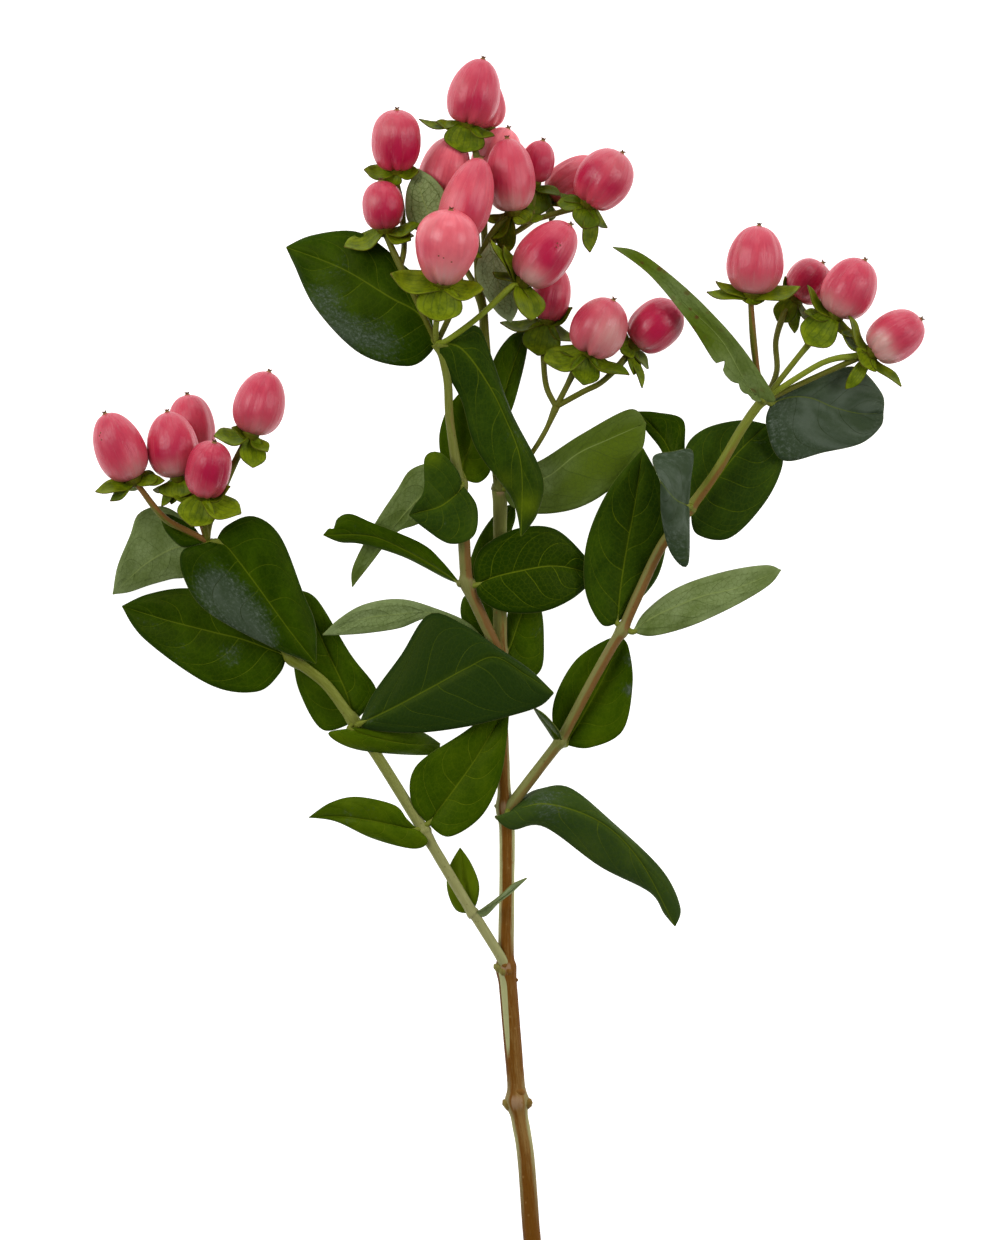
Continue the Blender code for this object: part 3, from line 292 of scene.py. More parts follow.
BERRIES = {
    "left_berry_1": Berry(
        "left_shoot", (133, 479, 19.0), (105, 414, 21.0), 12.5,
        [LEFT_FORK, (190, 532, 18.0), (164, 518, 19.0), (140, 488, 19.0)],
        [(95, 490, 0.5, 4.5), (158, 478, 1.0, 5.0)]),
    "left_berry_2": Berry(
        "left_shoot", (178, 477, 17.5), (167, 412, 18.0), 13.0,
        [LEFT_FORK, (198, 515, 16.5), (186, 494, 17.0)],
        [(178, 498, 3.0, 7.5), (161, 506, 1.0, 2.5), (171, 504, 0.5, 2.5)]),
    "left_berry_3": Berry(
        "left_shoot", (194, 455, 6.04), (186, 394, 5.84), 11.8,
        [LEFT_FORK, (203, 510, 12.0), (198, 475, 7.4)]),
    "left_berry_4": Berry(
        "left_shoot", (203, 495, 22.0), (215, 443, 27.0), 11.4,
        [LEFT_FORK, (205, 524, 19.0), (204, 505, 21.0)],
        [(192, 527, 3.0, 7.5), (241, 515, 2.0, 7.0), (231, 487, 1.0, 3.5)]),
    "left_berry_5": Berry(
        "left_shoot", (251, 434, 20.0), (269, 372, 20.5), 12.8,
        [LEFT_FORK, (211, 519, 18.0), (231, 471, 19.5), (245, 442, 20.0)],
        [(214, 437, 1.5, 6.0), (253, 468, 2.0, 5.5), (268, 452, 1.5, 4.0),
         (232, 427, 1.5, 3.0)]),
    "centre_berry_01": Berry(
        "top_shoot", (467, 123, 19.0), (483, 59, 20.0), 13.0,
        [UPPER_FORK, (476, 240, 21.5), (477, 200, 21.5), (478, 165, 21.0),
         (471, 136, 19.5)],
        [(419, 120, 1.0, 3.0), (462, 153, 3.0, 8.0)]),
    "centre_berry_02": Berry(
        "top_shoot", (487, 127, 5.85), (478, 69, 5.55), 11.3,
        [UPPER_FORK, (478, 250, 12.0), (474, 210, 5.6), (473, 170, 4.1),
         (483, 138, 5.0)]),
    "centre_berry_03": Berry(
        "centre_shoot", (396, 170, 24.0), (397, 111, 27.0), 12.3,
        [(401, 267, 30.4), (404, 252, 27.6), (404, 236, 23.0), (401, 205, 21.0),
         (396, 180, 23.3)],
        [(364, 171, 1.0, 5.0), (419, 173, 1.0, 4.5), (390, 187, 2.0, 4.0)]),
    "centre_berry_04": Berry(
        "centre_shoot", (385, 230, 27.0), (381, 182, 28.0), 10.4,
        [CENTRE_FORK, (420, 309, 33.0), (408, 283, 32.0), (398, 262, 30.2),
         (387, 238, 27.8)],
        [(345, 249, 1.0, 6.0), (411, 242, 1.5, 5.5), (421, 226, 0.5, 4.0)]),
    "centre_berry_05": Berry(
        "top_shoot", (438, 198, 16.5), (454, 137, 17.5), 13.0,
        [UPPER_FORK, (462, 262, 17.5), (446, 225, 15.5), (438, 206, 16.2)]),
    "centre_berry_06": Berry(
        "top_shoot", (487, 185, 10.0), (508, 127, 10.5), 12.5,
        [UPPER_FORK, (484, 255, 15.3), (484, 215, 10.6), (485, 193, 9.9)]),
    "centre_berry_07": Berry(
        "top_shoot", (513, 212, 22.0), (507, 139, 22.8), 12.4,
        [UPPER_FORK, (480, 262, 21.8), (486, 243, 22.0), (498, 226, 22.0),
         (508, 217, 22.0)],
        [(530, 222, 2.0, 5.5), (503, 256, 0.0, 4.0), (492, 240, 0.0, 4.0)]),
    "centre_berry_08": Berry(
        "centre_shoot", (456, 240, 31.9), (481, 160, 31.4), 13.0,
        [CENTRE_FORK, (447, 323, 30.2), (458, 298, 29.5), (460, 268, 29.7),
         (457, 248, 30.7)]),
    "centre_berry_09": Berry(
        "centre_shoot", (443, 286, 40.0), (451, 213, 44.0), 16.0,
        [CENTRE_FORK, (436, 330, 33.5), (439, 306, 37.5), (442, 293, 39.5)],
        [(391, 277, 2.0, 7.5), (437, 324, 4.0, 9.0), (484, 293, 2.0, 6.5)]),
    "centre_berry_10": Berry(
        "top_shoot", (533, 181, 13.9), (543, 140, 14.4), 8.5,
        [TWIG_FORK, (533, 203, 15.2), (533, 190, 14.3)],
        [(538, 215, 2.0, 6.0), (530, 221, 1.0, 4.5)]),
    "centre_berry_11": Berry(
        "top_shoot", (549, 194, 5.65), (599, 160, 5.25), 10.8,
        [TWIG_FORK, (538, 210, 10.6), (544, 199, 6.3)],
        [(575, 207, 1.5, 3.5)]),
    "centre_berry_12": Berry(
        "top_shoot", (588, 203, 19.0), (622, 153, 20.0), 14.0,
        [TWIG_FORK, (560, 212, 17.5), (578, 207, 18.6)],
        [(583, 228, 3.0, 6.0), (591, 252, 1.0, 4.0), (557, 203, 1.0, 5.0)]),
    "centre_berry_13": Berry(
        "centre_shoot", (523, 282, 30.0), (570, 226, 31.0), 13.5,
        [CENTRE_FORK, (448, 341, 34.0), (479, 318, 34.4), (508, 291, 32.0),
         (517, 286, 30.5)],
        [(532, 321, 3.0, 8.0), (492, 239, 2.0, 3.0), (505, 246, 1.0, 3.5)]),
    "centre_berry_14": Berry(
        "top_shoot", (547, 321, 18.5), (556, 266, 18.0), 10.0,
        [THREE_FORK, (547, 389, 24.0), (544, 368, 21.5), (544, 345, 19.5),
         (546, 329, 18.7)],
        [(500, 324, 1.0, 4.5), (538, 356, 3.0, 7.5), (571, 342, 1.5, 4.5),
         (573, 308, 0.5, 3.5)]),
    "centre_berry_15": Berry(
        "top_shoot", (588, 352, 26.0), (613, 301, 29.0), 14.0,
        [THREE_FORK, (566, 388, 25.5), (575, 370, 25.6), (584, 357, 25.8)],
        [(543, 363, 2.0, 7.0), (583, 386, 3.0, 6.0), (629, 376, 1.0, 4.0)]),
    "centre_berry_16": Berry(
        "top_shoot", (635, 344, 21.0), (678, 306, 22.0), 12.5,
        [THREE_FORK, (583, 392, 24.5), (602, 382, 23.5), (622, 362, 22.0),
         (630, 350, 21.2)],
        [(621, 353, 2.0, 4.5), (634, 375, 1.0, 3.5), (643, 388, 0.0, 2.5)]),
    "right_berry_1": Berry(
        "right_shoot", (752, 294, 20.0), (759, 226, 21.0), 14.2,
        [RIGHT_FORK, (758, 375, 21.5), (753.6, 343, 20.5), (751, 305, 20.0)],
        [(707, 291, 1.0, 4.0), (716, 281, 0.0, 3.5), (800, 287, 1.5, 5.5),
         (756, 305, 2.0, 4.0)]),
    "right_berry_2": Berry(
        "right_shoot", (797, 297, 5.95), (824, 262, 5.65), 11.5,
        [RIGHT_FORK, (777, 371, 17.0), (776.5, 340, 12.0), (785, 313, 7.6),
         (792, 303, 6.0)],
        [(786, 275, 1.0, 3.0), (778, 320, 2.5, 4.5), (795, 332, 1.0, 3.0)]),
    "right_berry_3": Berry(
        "right_shoot", (836, 315, 16.0), (865, 260, 17.5), 13.5,
        [RIGHT_FORK, (795, 361, 18.5), (815, 337, 16.5), (829, 322, 16.0)],
        [(806, 345, 3.0, 7.5), (806, 286, 3.0, 3.5)]),
    "right_berry_4": Berry(
        "right_shoot", (873, 352, 17.5), (921, 319, 18.5), 12.5,
        [RIGHT_FORK, (822, 363, 19.5), (855, 356, 18.2), (866, 354, 17.7)],
        [(840, 331, 0.5, 4.5), (848, 316, 3.0, 3.5), (861, 365, 3.0, 6.0),
         (902, 386, 1.0, 3.5), (846, 389, 1.0, 3.0)]),
}


# Leaves


class Leaf:
    """Where one leaf is: its base and tip, its midrib's points between them, and
    the points of its left and right margins as seen from the base. A margin's
    third number is how far it stands above the midrib, in mm; without one it is
    lift. camber is how far each half arches, in mm."""

    def __init__(self, base, tip, rib, left, right, lift=(0.0, 0.0), camber=0.5):
        self.base = at(*base)
        self.tip = at(*tip)
        self.rib = [self.base] + [at(*point) for point in rib] + [self.tip]
        self.left = self.margin(left, lift[0])
        self.right = self.margin(right, lift[1])
        self.camber = camber * MM

    def margin(self, points, lift):
        """The margin's points, with Z holding the lift over the midrib."""
        path = []
        for point in points:
            rise = point[2] if len(point) > 2 else lift
            path.append(at(point[0], point[1], rise))
        return [flat(self.base)] + path + [flat(self.tip)]


LEAVES = {
    "left_leaf_01": Leaf(
        (216, 541, 19.0), (316, 664, 17.6),
        [(227, 547, 19.2), (240, 563, 19.4), (258, 587, 19.0), (289, 630, 18.6)],
        [(226, 526), (253, 516), (280, 536), (303, 593), (315, 624)],
        [(199, 545), (181, 552), (183, 577), (206, 611), (269, 646)],
        lift=(-2.0, -1.5)),
    "left_leaf_02": Leaf(
        (286, 656, 13.0), (120, 606, 4.5),
        [(244, 640, 12.4), (216, 633, 11.4), (165, 620, 8.5)],
        [(279, 674), (256, 692), (209, 685), (144, 640)],
        [(272, 628), (232, 596), (186, 588), (147, 594)],
        lift=(0.5, 0.5)),
    "left_leaf_03": Leaf(
        (204, 543, 15.0), (111, 594, 2.5),
        [(176, 547, 13.0), (150, 560, 9.5), (130, 576, 5.5)],
        [(190, 574), (170, 579), (148, 585), (127, 592)],
        [(186, 520), (162, 506), (138, 513), (129, 535), (116, 566)],
        lift=(-0.5, 1.0)),
    "left_leaf_04": Leaf(
        (354, 722, 13.0), (297, 590, 8.0),
        [(345, 691, 12.0), (328, 654, 11.0), (310, 615, 9.5)],
        [(322, 730), (299, 692), (292, 655), (288, 615)],
        [(374, 700), (374, 685), (350, 654), (317, 600)]),
    "left_leaf_05": Leaf(
        (359, 724, 19.2), (554, 693, 22.0),
        [(391, 709, 20.2), (434, 686, 22.0), (467, 668, 23.8), (495, 657, 24.4),
         (526, 675, 23.4)],
        [(373, 694), (401, 655), (429, 614), (463, 624), (497, 647, -1.5), (529, 669, -1.0)],
        [(371, 730), (415, 733), (465, 727), (510, 716), (540, 706)],
        lift=(-1.5, -1.0)),
    "left_leaf_06": Leaf(
        (349, 729, 17.5), (440, 744, 8.5),
        [(375, 738, 17.8), (412, 745, 14.5)],
        [(360, 727, 0.0), (384, 730, 0.0), (418, 731)],
        [(328, 733), (343, 745), (372, 752), (431, 755)],
        lift=(-1.0, 0.0)),
    "left_leaf_07": Leaf(
        (428, 824, 15.0), (510, 699, 17.6),
        [(441, 807, 15.6), (456, 787, 16.4), (480, 752, 17.4)],
        [(411, 802), (416, 766), (464, 732), (494, 710)],
        [(449, 837), (481, 817), (500, 780), (507, 738)],
        lift=(0.3, 1.2)),
    "left_leaf_08": Leaf(
        (418, 830, 15.2), (308, 818, 9.0),
        [(395, 826, 15.0), (370, 821, 14.0), (338, 817, 11.5)],
        [(428, 842, 1.6), (413, 849), (373, 839), (336, 822)],
        [(407, 819), (394, 805), (357, 797), (330, 803)],
        lift=(0.5, 1.0)),
    "centre_leaf_01": Leaf(
        (493, 652, 19.0), (322, 635, 15.0),
        [(455, 626, 17.8), (430, 613, 17.5), (400, 614, 17.3), (362, 619, 16.8)],
        [(476, 646), (454, 633), (430, 618), (400, 628), (368, 633), (340, 635)],
        [(470, 624), (435, 608), (400, 599), (365, 604), (340, 618)],
        lift=(0.0, 0.5)),
    "centre_leaf_02": Leaf(
        (461, 584, 22.8), (323, 535, 19.5),
        [(440, 570, 22.4), (405, 550, 22.0), (370, 536, 21.2)],
        [(445, 578), (404, 557), (362, 544), (340, 542)],
        [(442, 561), (421, 543), (373, 523), (345, 514)],
        lift=(-1.5, 1.0)),
    "centre_leaf_03": Leaf(
        (476, 585, 24.2), (597, 577, 15.0),
        [(495, 577, 24.2), (520, 571, 23.2), (550, 566, 20.8), (575, 569, 17.8)],
        [(474, 565), (485, 545), (519, 528), (555, 529), (585, 556)],
        [(481, 600), (505, 612), (541, 612), (572, 599)],
        lift=(0.5, 0.5)),
    "centre_leaf_04": Leaf(
        (462, 485, 29.8), (409, 515, 31.5),
        [(456, 495, 30.4), (440, 507, 31.4), (422, 512, 32.0)],
        [(477, 507), (474, 536), (450, 544), (424, 528)],
        [(457, 470), (440, 453), (425, 458), (424, 490), (415, 505)],
        lift=(-0.6, 1.5)),
    "centre_leaf_05": Leaf(
        (459, 487, 27.2), (352, 587, 12.0),
        [(433, 489, 25.0), (410, 508, 21.5), (388, 536, 18.0), (368, 563, 14.5)],
        [(440, 514), (416, 525), (395, 534), (368, 567)],
        [(440, 464), (412, 469), (397, 490), (374, 525), (353, 566)],
        lift=(0.5, -0.5)),
    "centre_leaf_06": Leaf(
        (464, 480, 26.3), (470, 385, 24.5),
        [(463, 464, 26.0), (471, 443, 25.8), (474, 415, 25.2)],
        [(445, 468), (439, 440), (445, 414), (457, 396)],
        [(479, 483), (491, 470), (494, 440), (485, 404)],
        camber=0.0),
    "centre_leaf_07": Leaf(
        (441, 346, 33.0), (521, 537, 28.5),
        [(461, 349, 32.6), (486, 381, 32.0), (505, 418, 31.6), (521, 465, 30.6)],
        [(462, 333, -2.6), (478, 327, -2.8), (491, 356), (511, 412), (542, 475),
         (538, 512)],
        [(440, 362), (461, 400), (476, 449), (512, 500)],
        lift=(-1.5, -1.5)),
    "centre_leaf_08": Leaf(
        (494, 436, 24.4), (527, 330, 15.0),
        [(501, 405, 24.2), (509, 378, 22.8), (518, 352, 18.6)],
        [(486, 402), (493, 362), (510, 336)],
        [(510, 414), (520, 382), (527, 350)]),
    "centre_leaf_09": Leaf(
        (434, 341, 30.6), (286, 247, 20.0),
        [(418, 314, 30.6), (390, 298, 29.5), (342, 269, 25.5)],
        [(431, 353), (408, 367), (360, 354), (316, 309), (294, 264)],
        [(427, 292, -2.5), (400, 262, -3.0), (370, 238), (347, 231), (310, 236)],
        lift=(-1.5, -1.0)),
    "centre_leaf_10": Leaf(
        (440, 235, 26.0), (418, 169, 23.0),
        [(429, 214, 25.4), (421, 193, 24.4)],
        [(417, 231), (406.5, 217), (407, 190)],
        [(448, 221), (446, 196), (434, 179)],
        lift=(0.0, 0.3)),
    "centre_leaf_11": Leaf(
        (490, 243, 25.5), (511, 323, 25.0),
        [(494, 265, 25.6), (501, 292, 25.6)],
        [(500, 251), (511, 276), (518, 306)],
        [(477, 263), (478, 283), (496, 312)]),
    "main_leaf_01": Leaf(
        (504, 489, 22.2), (646, 423, 17.0),
        [(545, 478, 21.5), (577, 454, 20.5), (607, 440, 19.2)],
        [(514, 474), (545, 458), (582, 434), (630, 409)],
        [(511, 506), (538, 514), (578, 508), (613, 487), (641, 452)],
        lift=(-0.3, 0.3)),
    "main_leaf_02": Leaf(
        (505, 655, 15.8), (530, 592, 12.0),
        [(511, 645, 15.2), (518, 624, 13.8)],
        [(507, 632), (508, 612), (516, 597)],
        [(522, 680), (541, 670), (544, 640), (541, 608)],
        lift=(-0.5, 0.0)),
    "main_leaf_03": Leaf(
        (508, 815, 15.2), (676, 928, 4.0),
        [(545, 804, 17.0), (600, 822, 15.0), (640, 861, 10.5)],
        [(524, 797, -4.6), (541, 789, -4.8), (570, 788, -2.0), (612, 822),
         (662, 870), (681, 908)],
        [(496, 818, 0.2), (512, 830), (544, 827), (600, 867), (650, 893), (665, 915)],
        lift=(-1.0, -1.0)),
    "right_leaf_01": Leaf(
        (566, 745, 13.0), (622, 637, 13.4),
        [(588, 707, 12.4), (605, 675, 12.6)],
        [(553, 724), (556, 695), (576, 660), (606, 640)],
        [(590, 748), (623, 731), (633, 684), (629, 648)],
        lift=(0.3, 0.8)),
    "right_leaf_02": Leaf(
        (617, 623, 18.0), (643, 448, 23.6),
        [(621, 584, 18.8), (628, 541, 20.2), (635, 504, 21.6)],
        [(601, 624), (585, 590), (587, 540), (609, 489)],
        [(634, 606, -2.4), (659, 574, -3.2), (668, 525, -1.5), (661, 484, -0.5)],
        lift=(1.0, -1.0)),
    "right_leaf_03": Leaf(
        (633, 632, 18.2), (782, 570, 8.0),
        [(656, 616, 17.6), (700, 597, 15.5), (738, 588, 12.0)],
        [(645, 612), (677, 588), (723, 572), (766, 565)],
        [(652, 636), (691, 626), (737, 605), (770, 585)],
        lift=(-1.0, 0.5)),
    "right_leaf_04": Leaf(
        (691, 513, 18.6), (768, 424, 13.5),
        [(704, 498, 17.6), (734, 457, 16.0)],
        [(686, 492, 0.0), (685, 450), (704, 429), (740, 420)],
        [(697, 534), (730, 538), (765, 503), (783, 465), (779, 440)],
        lift=(0.5, -1.5)),
    "right_leaf_05": Leaf(
        (688, 506, 24.0), (660, 483, 37.0),
        [(683, 504, 28.0), (674, 499, 33.0)],
        [(689, 521, 0.5), (687, 566), (670, 553), (661, 516)],
        [(690, 482, 0.5), (692, 451), (672, 452), (652, 458)],
        lift=(-3.0, -3.0)),
    "right_leaf_06": Leaf(
        (684, 499, 18.6), (638, 411, 12.6),
        [(676, 470, 15.6), (664, 440, 13.6)],
        [(669, 478), (662, 451), (645, 428)],
        [(685, 474), (685, 446), (683, 419), (657, 412)]),
    "right_leaf_07": Leaf(
        (764, 401, 23.6), (612, 248, 30.5),
        [(748, 388, 24.6), (722, 342, 27.0), (690, 310, 29.4), (650, 272, 30.5)],
        [(750, 399), (718, 368), (690, 326), (650, 277)],
        [(775, 399), (752, 362), (722, 325), (682, 286), (640, 254)],
        lift=(1.0, 0.0)),
    "right_leaf_08": Leaf(
        (771, 404, 20.0), (885, 412, 5.5),
        [(791, 397, 18.6), (812, 398, 16.5), (835, 407, 13.0), (862, 413, 8.5)],
        [(783, 394), (820, 377), (856, 366), (883, 392)],
        [(766, 425), (782, 460), (825, 452), (862, 443), (882, 426)],
        lift=(-0.5, 0.5)),
}

# Small leaves at the forks, each grown into the stem that bears it

LEAFLETS = {
    "left_shoot": [
        Leaf((471, 914, 12.0), (460, 848, 9.5), [(464, 880, 10.0)],
             [(456, 911), (447, 890), (449, 868)],
             [(477, 903), (479, 885), (471, 864)]),
        Leaf((474.5, 914.5, 13.0), (527, 878, 15.0), [(500, 899, 15.0)],
             [(484, 908, 2.0), (502, 894, 3.5), (513, 884, 2.0)],
             [(485, 917, -0.8), (499, 903, -0.8), (512, 893, -0.5)]),
        Leaf((204, 542, 16.8), (160, 517, 16.0), [(180, 531, 16.7)],
             [(188, 547), (178, 545), (165, 531)],
             [(193, 526), (180, 519), (168, 514)])],
    "right_shoot": [
        Leaf((562, 741, 15.8), (533, 707, 20.5), [(550, 727, 18.5)],
             [(556, 742, -2.0), (546, 728, -3.0), (538, 716, -2.0)],
             [(560, 733, 2.5), (552, 722, 3.5), (543, 713, 2.5)])],
    "centre_shoot": [
        Leaf((468, 583, 22.2), (514, 503, 12.5), [(488, 548, 15.2)],
             [(470, 561), (480, 535), (498, 511)],
             [(484, 579), (503, 548), (515, 520)])],
    "main_stem": [
        Leaf((499, 652, 15.2), (470, 592, 12.0), [(480, 622, 13.0)],
             [(480, 650), (462, 620), (462, 600)],
             [(497, 630), (492, 605), (480, 594)])],
}


# Curves and meshes


def curve_point(points, span, fraction):
    """A point on the smooth curve through the points, between two of them."""
    before = points[max(span - 1, 0)]
    start = points[span]
    end = points[span + 1]
    after = points[min(span + 2, len(points) - 1)]
    f = fraction
    return 0.5 * (2 * start + (end - before) * f
                  + (2 * before - 5 * start + 4 * end - after) * f * f
                  + (3 * start - before - 3 * end + after) * f * f * f)


def along_curve(points, fractions):
    """Points at the given fractions of the length of a smooth curve."""
    dense = [points[0]]
    for span in range(len(points) - 1):
        for step in range(1, CURVE_STEPS + 1):
            dense.append(curve_point(points, span, step / CURVE_STEPS))
    lengths = [0.0]
    for first, second in zip(dense, dense[1:]):
        lengths.append(lengths[-1] + (second - first).length)
    found = []
    index = 0
    for fraction in fractions:
        target = fraction * lengths[-1]
        while index < len(lengths) - 2 and lengths[index + 1] < target:
            index += 1
        share = (target - lengths[index]) / (lengths[index + 1] - lengths[index])
        found.append(dense[index].lerp(dense[index + 1], share))
    return found


MARKS = ("place", "span", "tint", "extra")


class Shape:
    """The points, faces and marks of one piece; materials read the marks.

    place is (along, across or angle, joint or margin), span is (mm along, mm
    across, seed), and tint and extra hold shares of colours and markings, which
    differ from piece to piece.
    """

    def __init__(self):
        self.points = []
        self.faces = []
        self.slots = []
        self.marks = {mark: [] for mark in MARKS}

    def add(self, points, faces, slots, place, span, tint, extra=None):
        start = len(self.points)
        self.points += [Vector((p.x, p.y, max(p.z, REST_LEVEL))) for p in points]
        self.faces += [tuple(start + index for index in face) for face in faces]
        self.slots += slots if isinstance(slots, list) else [slots] * len(faces)
        self.marks["place"] += place
        self.marks["span"] += span
        self.marks["tint"] += tint
        self.marks["extra"] += extra or [NOUGHT] * len(points)

    def build(self, name, materials):
        """The shape as an object of the scene."""
        mesh = bpy.data.meshes.new(name)
        mesh.from_pydata([tuple(point) for point in self.points], [], self.faces)
        for material in materials:
            mesh.materials.append(material)
        mesh.polygons.foreach_set("material_index", self.slots)
        for mark, values in self.marks.items():
            layer = mesh.attributes.new(mark, "FLOAT_VECTOR", "POINT")
            layer.data.foreach_set("vector", [part for value in values for part in value])
        mesh.shade_smooth()
        piece = bpy.data.objects.new(name, mesh)
        bpy.context.scene.collection.objects.link(piece)
        return piece


def sheet_faces(rows, columns, front_slot, back_slot):
    """Faces and slots of a closed sheet: front points first, then back ones."""
    under = rows * columns
    faces = []
    slots = []
    for row in range(rows - 1):
        for column in range(columns - 1):
            a = row * columns + column
            b = a + 1
            c = a + columns + 1
            d = a + columns
            faces += [(a, b, c, d), (a + under, d + under, c + under, b + under)]
            slots += [front_slot, back_slot]
    rim = list(range(columns))
    rim += [row * columns + columns - 1 for row in range(1, rows)]
    rim += [(rows - 1) * columns + column for column in range(columns - 2, -1, -1)]
    rim += [row * columns for row in range(rows - 2, 0, -1)]
    for first, second in zip(rim, rim[1:] + rim[:1]):
        faces.append((first, first + under, second + under, second))
        slots.append(front_slot)
    return faces, slots


def sheet_normals(surface):
    """The direction square to a grid of points, at each of them."""
    rows = len(surface)
    columns = len(surface[0])
    normals = []
    for row in range(rows):
        line = []
        for column in range(columns):
            ahead = surface[min(row + 1, rows - 1)][column] - surface[max(row - 1, 0)][column]
            right = surface[row][min(column + 1, columns - 1)]
            aside = right - surface[row][max(column - 1, 0)]
            line.append(aside.cross(ahead).normalized())
        normals.append(line)
    return normals


def bell(distance, width):
    """One at no distance, and nearly nought at twice the width."""
    return math.exp(-(distance / width) ** 2)


def spots(table):
    """Places on the view with a radius and a strength, from pixels and mm."""
    return [(at(across, down, 0.0), radius * MM, strength)
            for across, down, radius, strength in table]


def spot_share(point, table):
    """How strongly the spots reach a point, seen from above."""
    return sum(strength * bell((flat(point) - place).length, radius)
               for place, radius, strength in table)


# Leaves' surfaces


def leaf_surface(leaf, rows, columns):
    """The leaf's middle surface, as rows of points from margin to margin."""
    rib = along_curve(leaf.rib, rows)
    left = along_curve(leaf.left, rows)
    right = along_curve(leaf.right, rows)
    surface = []
    for middle, left_rise, right_rise in zip(rib, left, right):
        row = []
        for column in columns:
            edge = left_rise if column < 0 else right_rise
            share = abs(column)
            point = middle.lerp(Vector((edge.x, edge.y, middle.z + edge.z)), share)
            width = (flat(edge) - flat(middle)).length
            arch = 4.0 * share * (1.0 - share)   # one halfway to the margin
            point.z += leaf.camber * arch * min(1.0, width / LEAF_BROAD)
            row.append(point)
        surface.append(row)
    blunt_end(surface[0], surface[1], leaf.base, LEAF_NECK)
    blunt_end(surface[-1], surface[-2], leaf.tip, LEAF_POINT)
    return surface


def blunt_end(end_row, next_row, point, distance):
    """Set the last row on a small arc round the leaf's end point."""
    for column, beyond in enumerate(next_row):
        reach = beyond - point
        length = min(distance, reach.length * LEAF_END_SHARE)
        end_row[column] = point + reach.normalized() * length


class Look:
    """What one leaf looks like: the side that is seen, its tone from dark to
    bright, how far it takes a cooler colour (on the upper side a bluish green
    that is partly painted sheen, on the underside a pale green that is painted
    light), how far its veins show, the height in mm and number of its margin's
    waves, the places of its painted sheen (of brown flecks, if the underside is
    seen), of light that shines through it, and of the notches in its margin.
    Places are (across, down, radius in mm, strength)."""

    def __init__(self, under=False, tone=0.0, cool_and_painted_light=0.0, veins=0.6, wave=0.2, waves=2.5,
                 sheen_and_flecks=(), glow=(), bites=()):
        self.under = under
        self.tone = tone
        self.cool_and_painted_light = cool_and_painted_light
        self.veins = veins
        self.wave = wave * MM
        self.waves = waves
        self.sheen_and_flecks = spots(sheen_and_flecks)
        self.glow = spots(glow)
        self.bites = spots(bites)


